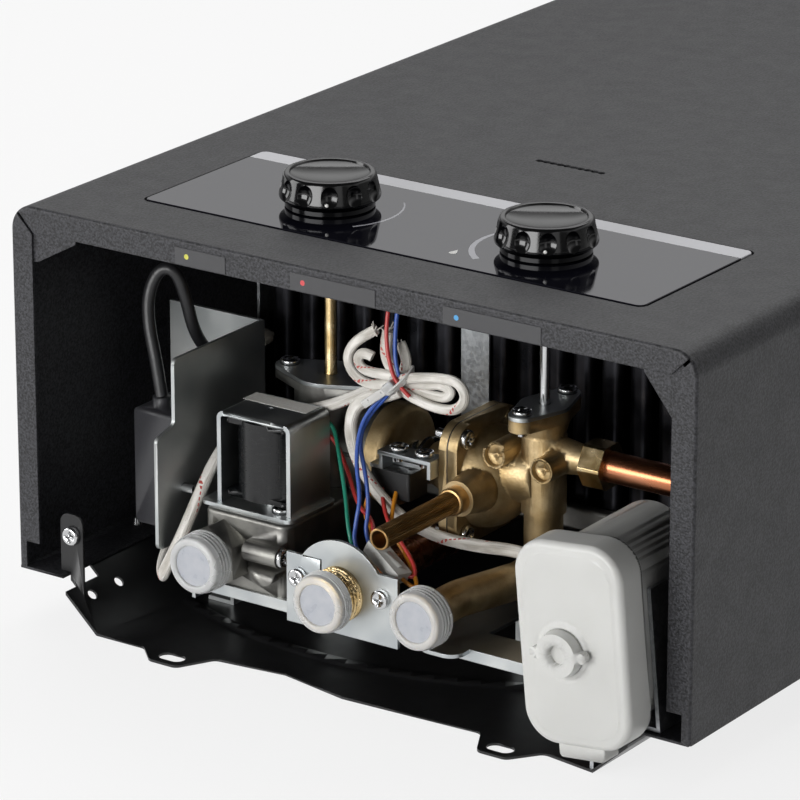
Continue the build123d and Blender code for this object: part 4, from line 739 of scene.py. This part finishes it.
def cap(name, port_x, front, cut_back):
    """A soft cap with faint thread ridges and a thin recessed web."""
    profile = []
    for distance, radius in CAP_PROFILE:
        if distance < SKIRT_LENGTH:
            distance = cut_back + distance * (1 - cut_back / SKIRT_LENGTH)
        profile.append((distance, radius))
    piece = turned(profile, 96)
    mesh = piece.data
    mesh.materials.append(milky_plastic)
    mesh.materials.append(web)
    for face in mesh.polygons:
        if len(face.vertices) > 8:
            face.material_index = 1
    piece.rotation_euler = (math.radians(90), 0, 0)
    piece.location = at(port_x, front + CAP_LENGTH, PORT_Z)
    settle(piece, name + "_moulding", milky_plastic, name + "_body", (name,), 40)


# Leads and sleeves, along the routes of the part's wires, in its own millimetres
SLEEVES = {
    "left_sleeve": (
        (-98, 30, 42), (-97.5, 26, 33), (-95, 17, 27), (-89, 9, 25), (-84, 6, 31.5), (-79, 9, 44),
        (-76.5, 17, 59), (-77.5, 29, 70), (-74.5, 39.5, 79), (-63, 45.2, 84.5), (-47, 45.4, 89.5),
        (-31, 43.5, 96.5), (-14, 42, 106.5), (2, 35.2, 114.5), (7, 32, 117.5)),
    "right_sleeve": (
        (6, 29.5, 113), (-1, 31, 109), (-9, 33, 106.5), (-17, 33.5, 101.5), (-19.5, 33.5, 91),
        (-16, 34, 79), (-8, 35, 68.5), (1, 37, 60.5), (11.5, 39, 56), (22.5, 40.6, 54.3),
        (34, 44, 53.6), (46, 47.3, 53.8), (61, 46, 53), (76, 40.5, 52.5), (88, 32, 53), (98, 27, 53)),
    "left_loop": (
        (5, 31, 114.5), (-2, 32, 112.8), (-10.8, 33.5, 110.6), (-18.2, 34, 113.2), (-21, 34, 119),
        (-18, 34.3, 125), (-13, 34.8, 129), (-8.3, 35, 132)),
    "left_inner_loop": (
        (5, 31.4, 117), (-2, 32.5, 116.6), (-8.5, 33, 115.8), (-13.8, 33, 116.6),
        (-15.6, 33.2, 120.4), (-12.5, 33.6, 123), (-9.2, 34, 121.6)),
    "right_loop": (
        (2, 30.4, 115.4), (8, 30, 117.8), (15, 29.6, 119.6), (23.5, 29.5, 121.2),
        (31.5, 29.8, 121.4), (35, 30.2, 115.6), (30.5, 30.6, 109.8), (22, 31, 108.6), (13, 31, 110),
        (6.5, 31, 112), (1, 31.5, 114)),
    "right_inner_loop": (
        (2, 32.5, 114.5), (8.5, 32.3, 115.4), (15.5, 32, 116.4), (22.5, 32, 117.9),
        (27.4, 32, 116.4), (24.5, 32.2, 112.8), (17, 32.6, 112.6), (10, 32.8, 113.6), (4, 33, 114.6)),
    "upper_sleeve": (
        (2.5, 33, 115.5), (-2, 34.4, 119.6), (-4.6, 35, 125), (-3, 35.4, 132.6)),
    "short_sleeve": (
        (3.4, 33.8, 115.8), (5, 35.2, 120.3), (4.2, 36, 124.4), (1.4, 36.4, 128.4)),
}
WIRES = {
    "blue_wire_1": (blue, (
        (3, 28, 115), (1.2, 27.6, 111), (-3.6, 26, 106), (-8.6, 25, 97.5), (-10.6, 25, 83.5),
        (-8, 24.5, 70), (-8.6, 22, 60), (-6.6, 18, 53), (-1.6, 19, 47))),
    "blue_wire_2": (blue, (
        (3.5, 28, 113), (0, 27.5, 108.5), (-5.5, 27.5, 102.5), (-11.5, 28, 91), (-8, 28, 77),
        (-5.4, 26, 65.5), (-4.4, 21.5, 56), (0.8, 22.5, 47))),
    "blue_wire_3": (blue, (
        (2.2, 38, 162), (2.4, 36.5, 151.5), (1.6, 34, 141), (2, 32, 130), (3.6, 30.2, 122.4),
        (5.6, 29.6, 118))),
    "red_wire_1": (red, (
        (-0.2, 38.5, 162), (-0.9, 36, 151.5), (-1.6, 32.6, 141), (-0.6, 30.2, 130),
        (2.6, 28.6, 121), (6.2, 27.4, 116), (11, 28.6, 111.8))),
    "red_wire_2": (red, (
        (-38, 38.4, 86.2), (-34.5, 43, 84.5), (-23.2, 37.5, 74.5), (-13.6, 30.5, 63),
        (-4, 28, 60.5), (6, 13, 59.5))),
    "orange_wire_1": (orange, (
        (-11, 39.6, 70.5), (-12.4, 36.6, 69), (-11.5, 31, 60.5), (-2, 25, 57), (5, 12.6, 56))),
    "green_wire": (green, (
        (-38, 38.4, 90.6), (-34, 43.5, 89.5), (-25.4, 35.5, 79), (-17.5, 28.5, 66.5),
        (-11.5, 21.5, 57.5), (-8.4, 20.5, 50), (-2.6, 24.5, 45))),
    "red_wire_3": (red, (
        (21.4, 11.6, 50.4), (24.6, 12.2, 49), (23.4, 14.5, 53.2), (14.4, 19, 58.6),
        (-0.2, 28, 63.2), (-7.5, 37.4, 69.6))),
    "orange_wire_2": (orange, (
        (21.4, 8.4, 50.2), (27.4, 9, 46), (25.4, 12.4, 49.6), (14.6, 19.6, 55.6), (2.6, 26.6, 60.4),
        (-2.5, 39.4, 68.6))),
}
SPARK_LEAD = (
    (-99, 24, 91), (-102, 25, 104), (-107, 27, 117), (-108.5, 29, 129), (-105, 32, 138.5),
    (-99, 34, 138), (-97, 37, 127), (-96.6, 41, 113), (-97.6, 50, 102), (-97.5, 61, 97.5),
    (-97.5, 72, 97), (-97.5, 84.5, 97))
# A sleeve's section: its radius, and half of its flat part
WIDE_SLEEVE = (1.6, 1.05)
SLIM_SLEEVE = (1.25, 0.75)
WIRE_RADIUS = 0.8
SPARK_LEAD_RADIUS = 2.4


def lead(name, route, radius, finish, replaced, flat=0.0, closed=False):
    """One smooth line through the route's points, round or flat in section, made a mesh.
    Its map is then in millimetres: U along it, and V round it."""
    data = bpy.data.curves.new(name, "CURVE")
    data.dimensions = "3D"
    data.resolution_u = 10
    data.bevel_depth = radius * MM
    data.bevel_resolution = 4
    data.extrude = flat * MM
    data.use_fill_caps = True
    spline = data.splines.new("NURBS")
    spline.points.add(len(route) - 1)
    for point, where in zip(spline.points, route):
        point.co = (*at(*where), 1)
    spline.order_u = 3
    spline.use_endpoint_u = not closed
    spline.use_cyclic_u = closed
    length = spline.calc_length() / MM
    piece = bpy.data.objects.new(name, data)
    bpy.context.scene.collection.objects.link(piece)
    select_only(piece)
    bpy.ops.object.convert(target="MESH")
    piece = bpy.context.object
    bpy.ops.object.mode_set(mode="EDIT")
    bpy.ops.mesh.select_all(action="SELECT")
    bpy.ops.mesh.remove_doubles(threshold=0.001 * MM)
    bpy.ops.mesh.normals_make_consistent(inside=False)
    bpy.ops.object.mode_set(mode="OBJECT")
    if piece.data.uv_layers:
        # The way round a flat section, nearly
        around = math.tau * (radius + flat * 0.64)
        for corner in piece.data.uv_layers[0].data:
            corner.uv = (corner.uv[0] * length, corner.uv[1] * around)
    return settle(piece, name, finish, "casing", replaced, 60)


# Each cut end of a sleeve: its place, the way it points, and the seed of its loose threads
FRAYED_ENDS = {
    "left_loop_fray": ((-8.6, 35, 131.6), (0.7, 0, 0.8), 3),
    "upper_sleeve_fray": ((-3.1, 35.4, 132), (0.3, 0, 1), 5),
    "short_sleeve_fray": ((1.6, 36.4, 128), (-0.3, 0.2, 1), 8),
}
FRAYED_THREADS = 7
THREAD_RADIUS = 0.22


def frayed_end(name, root, direction, seed):
    """Loose glass threads where a sleeve was cut."""
    chance = random.Random(seed)
    pieces = []
    for index in range(FRAYED_THREADS):
        drift = Vector((chance.uniform(-1, 1), chance.uniform(-1, 1), chance.uniform(-1, 1)))
        reach = chance.uniform(1.2, 2.8)
        start = Vector(root) + drift * 1.1
        heading = (Vector(direction).normalized() + drift * 0.45).normalized()
        middle = start + heading * reach * 0.5
        end = start + heading * reach + drift * 0.8
        pieces.append(lead(name + "_%d" % index, (start, middle, end), THREAD_RADIUS, sleeve_braid, ()))
    select_only(pieces[0])
    for piece in pieces:
        piece.select_set(True)
    bpy.ops.object.join()
    pieces[0].name = name


TIE_CENTRE = Vector((4.6, 31.6, 115.2))
TIE_LONG_WAY = Vector((0.72, 0.05, 0.69)).normalized() * 7.4
TIE_DEEP_WAY = Vector((-0.25, 0.9, 0.15)).normalized() * 5.6
TIE_POINTS = 12
TIE_EDGE = 0.45
TIE_TAIL = ((3.2, 26.6, 114), (0.5, 25.6, 111.8), (-3.2, 24.6, 109), (-6.4, 24, 106.4))
TIE_HEAD = (3.6, 26.6, 114.4)
TIE_HEAD_SIZE = (5.0, 3.2, 4.4)
TIE_HEAD_TURN = (0.2, -0.75, 0.2)


def rounded_block(where, size, edge, segments, turn=(0, 0, 0)):
    """A block of the given size in millimetres, with rounded edges."""
    bpy.ops.object.select_all(action="DESELECT")
    bpy.ops.mesh.primitive_cube_add(size=1, location=at(*where), rotation=turn)
    piece = bpy.context.object
    piece.scale = Vector(size) * MM
    bpy.ops.object.transform_apply(location=False, rotation=False, scale=True)
    bpy.ops.object.mode_set(mode="EDIT")
    bpy.ops.mesh.select_all(action="SELECT")
    bpy.ops.mesh.bevel(offset=edge * MM, segments=segments, affect="EDGES")
    bpy.ops.object.mode_set(mode="OBJECT")
    return piece


def cable_tie():
    """The tie that holds the sleeves' loops: a band, its head and its cut tail."""
    loop = []
    for index in range(TIE_POINTS):
        angle = index * math.tau / TIE_POINTS
        loop.append(TIE_CENTRE + TIE_LONG_WAY * math.cos(angle) + TIE_DEEP_WAY * math.sin(angle))
    lead("cable_tie_band", loop, TIE_EDGE, tie_nylon, (), 1.2, True)
    lead("cable_tie_tail", TIE_TAIL, TIE_EDGE, tie_nylon, (), 1.1)
    head = rounded_block(TIE_HEAD, TIE_HEAD_SIZE, 0.8, 4, TIE_HEAD_TURN)
    settle(head, "cable_tie_head", tie_nylon, "casing", (), 50)


# Small trim
DROP = (19.6, 43.6)
DROP_RADIUS = 1.5
DROP_TURN = 0.1
PRINT_THICKNESS = 0.03


def drop_mark():
    """The printed drop beside the water scale."""
    bpy.ops.object.select_all(action="DESELECT")
    bpy.ops.mesh.primitive_circle_add(vertices=32, radius=DROP_RADIUS * MM, fill_type="NGON")
    drop = bpy.context.object
    for vertex in drop.data.vertices:
        if vertex.co.y > 0:
            share = vertex.co.y / (DROP_RADIUS * MM)
            vertex.co.x *= 1 - 0.75 * share
            vertex.co.y *= 2.1
    drop.location = at(*DROP, PANEL_TOP + PRINT_THICKNESS)
    drop.rotation_euler = (0, 0, DROP_TURN)
    skin = drop.modifiers.new("print", "SOLIDIFY")
    skin.thickness = PRINT_THICKNESS * MM
    select_only(drop)
    bpy.ops.object.modifier_apply(modifier=skin.name)
    settle(drop, "water_drop_print", pointer, "casing")


YOKE_LABEL = (-51.5, 34.9, YOKE_TOP + 0.04)
YOKE_LABEL_SIZE = (29, 8.6, 0.08)


def yoke_label():
    """The blank paper label on the yoke."""
    label = rounded_block(YOKE_LABEL, YOKE_LABEL_SIZE, 0.02, 2)
    settle(label, "yoke_label", paper, "casing")


# Drain spout
SPOUT_PROFILE = (
    (0, 3.0), (0, 5.2), (4.4, 5.3), (5.0, 4.9), (5.2, 4.3), (8.0, 4.25), (47.6, 4.2), (49.2, 4.15),
    (49.8, 4.0), (50.0, 3.7), (50.0, 3.35), (49.7, 3.15), (36.0, 3.1))
SPOUT_FLUTES = 28
SPOUT_BASE = (26.5, 37.0, 73.0)
SPOUT_BORE = 4
GRIP_START = 7.5
GRIP_END = 48
FLUTE_SHARE = 0.92


def spout():
    """The drain spout: a tube with fine flutes along its grip and a hollow end."""
    piece = turned(SPOUT_PROFILE, 4 * SPOUT_FLUTES)
    for vertex in piece.data.vertices:
        reach = math.hypot(vertex.co.x, vertex.co.y)
        if GRIP_START * MM < vertex.co.z < GRIP_END * MM and reach > SPOUT_BORE * MM:
            step = round(math.atan2(vertex.co.y, vertex.co.x) / math.tau * 4 * SPOUT_FLUTES)
            if step % 4 > 1:
                vertex.co.x *= FLUTE_SHARE
                vertex.co.y *= FLUTE_SHARE
    piece.rotation_euler = (math.radians(90), 0, 0)
    piece.location = at(*SPOUT_BASE)
    settle(piece, "drain_spout", spout_brass, "drain_body", ("drain_nozzle",), 20)


# Putting it together
YOKE_HOLE = (-51.4, 27.5, YOKE_TOP)
YOKE_HOLE_RADIUS = 1.4
# The battery cap's face stands out from a rim, over a narrow slope
LARGE_FACE = 20
FACE_RIM = 1.6
FACE_SLOPE = 0.5
FACE_STEP = 0.35
BLENDED_EDGE = 32


def step_face(piece):
    """Steps the battery cap's face out from its rim."""
    mesh = piece.data
    bpy.context.tool_settings.mesh_select_mode = (False, False, True)
    bpy.ops.object.mode_set(mode="EDIT")
    bpy.ops.mesh.select_all(action="DESELECT")
    bpy.ops.object.mode_set(mode="OBJECT")
    front = min(mesh.vertices[index].co.y for face in mesh.polygons if face.area > LARGE_FACE * MM * MM
                for index in face.vertices)
    for face in mesh.polygons:
        face.select = face.normal.y < -0.999 and abs(face.center.y - front) < 0.05 * MM
    bpy.ops.object.mode_set(mode="EDIT")
    bpy.ops.mesh.inset(thickness=FACE_RIM * MM, depth=0)
    bpy.ops.mesh.inset(thickness=FACE_SLOPE * MM, depth=FACE_STEP * MM)
    bpy.ops.object.mode_set(mode="OBJECT")


def dress_nodes():
    """Gives each node its finish, and puts smooth copies in the place of those with curved faces."""
    finish_of = {name: finish for finish, names in DRESS.items() for name in names}
    for name, finish in finish_of.items():
        slots = nodes[name].data.materials
        slots.clear()
        slots.append(finish)
    for name in CURVED:
        piece = merged_copy(name)
        if name == "solenoid_yoke":
            hole = turned(((-4, YOKE_HOLE_RADIUS), (4, YOKE_HOLE_RADIUS)), 32)
            hole.location = at(*YOKE_HOLE)
            cut(piece, hole)
        if name == "battery_cap":
            step_face(piece)
        settle(piece, name + "_smooth", finish_of[name], nodes[name]["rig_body"], (name,), BLENDED_EDGE)


def make_pieces():
    """Makes the pieces that the nodes leave plain."""
    knob("gas_knob", GAS_KNOB)
    knob("water_knob", WATER_KNOB)
    for name, settings in CAPS.items():
        cap(name, *settings)
    for name, route in SLEEVES.items():
        radius, flat = SLIM_SLEEVE if "loop" in name or "short" in name else WIDE_SLEEVE
        lead(name, route, radius, sleeve_braid, ("wiring_loom",), flat)
    for name, (finish, route) in WIRES.items():
        lead(name, route, WIRE_RADIUS, finish, ("blue_wires" if finish is blue else "red_wires",))
    lead("spark_lead", SPARK_LEAD, SPARK_LEAD_RADIUS, silicone, ("igniter_lead",))
    for name, settings in FRAYED_ENDS.items():
        frayed_end(name, *settings)
    cable_tie()
    spout()
    drop_mark()
    yoke_label()


dress_nodes()
make_pieces()


# Light and floor
# Each lamp: place, what it aims at, width and height, and power
LAMPS = {
    "overhead_softbox": ((-0.5, 1.1, 1.8), (0, 0.2, 0.1), (2.4, 1.4), 25),
    "front_softbox": ((-0.3, -1.9, 0.5), (0, 0, 0.09), (1.7, 0.8), 36),
    "left_softbox": ((-1.7, -0.8, 0.6), (-0.05, 0.0, 0.1), (0.8, 1.0), 11),
    "right_softbox": ((1.7, -1.1, 0.6), (0.1, 0.0, 0.1), (0.6, 1.0), 1.5),
}
FILL_STRENGTH = 0.1
FLOOR_SIZE = 12
FLOOR_GLOW = 0.8


def make_lamp(name, location, aim, size, power):
    lamp = bpy.data.lights.new(name, "AREA")
    lamp.shape = "RECTANGLE"
    lamp.size, lamp.size_y = size
    lamp.energy = power
    holder = bpy.data.objects.new(name, lamp)
    bpy.context.scene.collection.objects.link(holder)
    holder.location = location
    holder.rotation_euler = (Vector(aim) - Vector(location)).to_track_quat("-Z", "Y").to_euler()


def seen_directly(tree, rays):
    """1 for the rays that see a thing itself, from the camera or through glass."""
    return add_node(tree, MATH, {"operation": "MAXIMUM"}, {
        0: rays.outputs["Is Camera Ray"], 1: rays.outputs["Is Transmission Ray"]})


def make_backdrop():
    """A white backdrop and a low fill. Gloss sees the backdrop pale behind the object, and darker over it,
    near the floor and on the camera's side."""
    world = bpy.data.worlds.new("studio")
    bpy.context.scene.world = world
    world.use_nodes = True
    tree = world.node_tree
    back = tree.nodes["Background"]
    back.inputs["Color"].default_value = (1, 1, 1, 1)
    rays = add_node(tree, "ShaderNodeLightPath")
    toward = add_node(tree, "ShaderNodeTexCoord")
    split = add_node(tree, "ShaderNodeSeparateXYZ", {}, {"Vector": toward.outputs["Generated"]})
    behind = add_node(tree, "ShaderNodeMapRange", {}, {
        "Value": split.outputs["Y"], "From Min": -0.5, "From Max": 0.5, "To Min": 0.3, "To Max": 1.0})
    low = add_node(tree, "ShaderNodeMapRange", {}, {
        "Value": split.outputs["Z"], "From Min": 0.36, "From Max": 0.6, "To Min": 1.0, "To Max": 0.12})
    rise = add_node(tree, "ShaderNodeMapRange", {}, {
        "Value": split.outputs["Z"], "From Min": 0.1, "From Max": 0.33, "To Min": 0.25, "To Max": 1.0})
    level = add_node(tree, MATH, {"operation": "MULTIPLY"}, {0: rise, 1: low})
    pale = add_node(tree, MATH, {"operation": "MULTIPLY"}, {0: behind, 1: level})
    gloss = add_node(tree, MATH, {"operation": "MULTIPLY"}, {0: rays.outputs["Is Glossy Ray"], 1: pale})
    lit = add_node(tree, MATH, {"operation": "MAXIMUM"}, {0: seen_directly(tree, rays), 1: FILL_STRENGTH})
    strength = add_node(tree, MATH, {"operation": "MAXIMUM"}, {0: lit, 1: gloss})
    tree.links.new(strength.outputs[0], back.inputs["Strength"])


def make_floor():
    """A matt white floor, which glows as well where it is seen directly or off gloss."""
    bpy.ops.object.select_all(action="DESELECT")
    bpy.ops.mesh.primitive_plane_add(size=FLOOR_SIZE, location=(0, 0.2, 0))
    floor = bpy.context.object
    floor.name = "floor"
    made, tree, shader = material("white_floor", "#f4f4f4", 0.6)
    glow = add_node(tree, "ShaderNodeEmission", {}, {"Color": (1, 1, 1, 1), "Strength": 1.0})
    rays = add_node(tree, "ShaderNodeLightPath")
    seen = add_node(tree, MATH, {"operation": "MAXIMUM"}, {
        0: seen_directly(tree, rays), 1: rays.outputs["Is Glossy Ray"]})
    share = add_node(tree, MATH, {"operation": "MULTIPLY"}, {0: seen, 1: FLOOR_GLOW})
    mixed = add_node(tree, "ShaderNodeMixShader", {}, {"Fac": share, 1: shader, 2: glow})
    tree.links.new(mixed.outputs[0], tree.nodes["Material Output"].inputs["Surface"])
    floor.data.materials.append(made)


def make_studio():
    bpy.context.scene.view_settings.view_transform = "Standard"
    make_backdrop()
    make_floor()
    for name, settings in LAMPS.items():
        make_lamp(name, *settings)


make_studio()
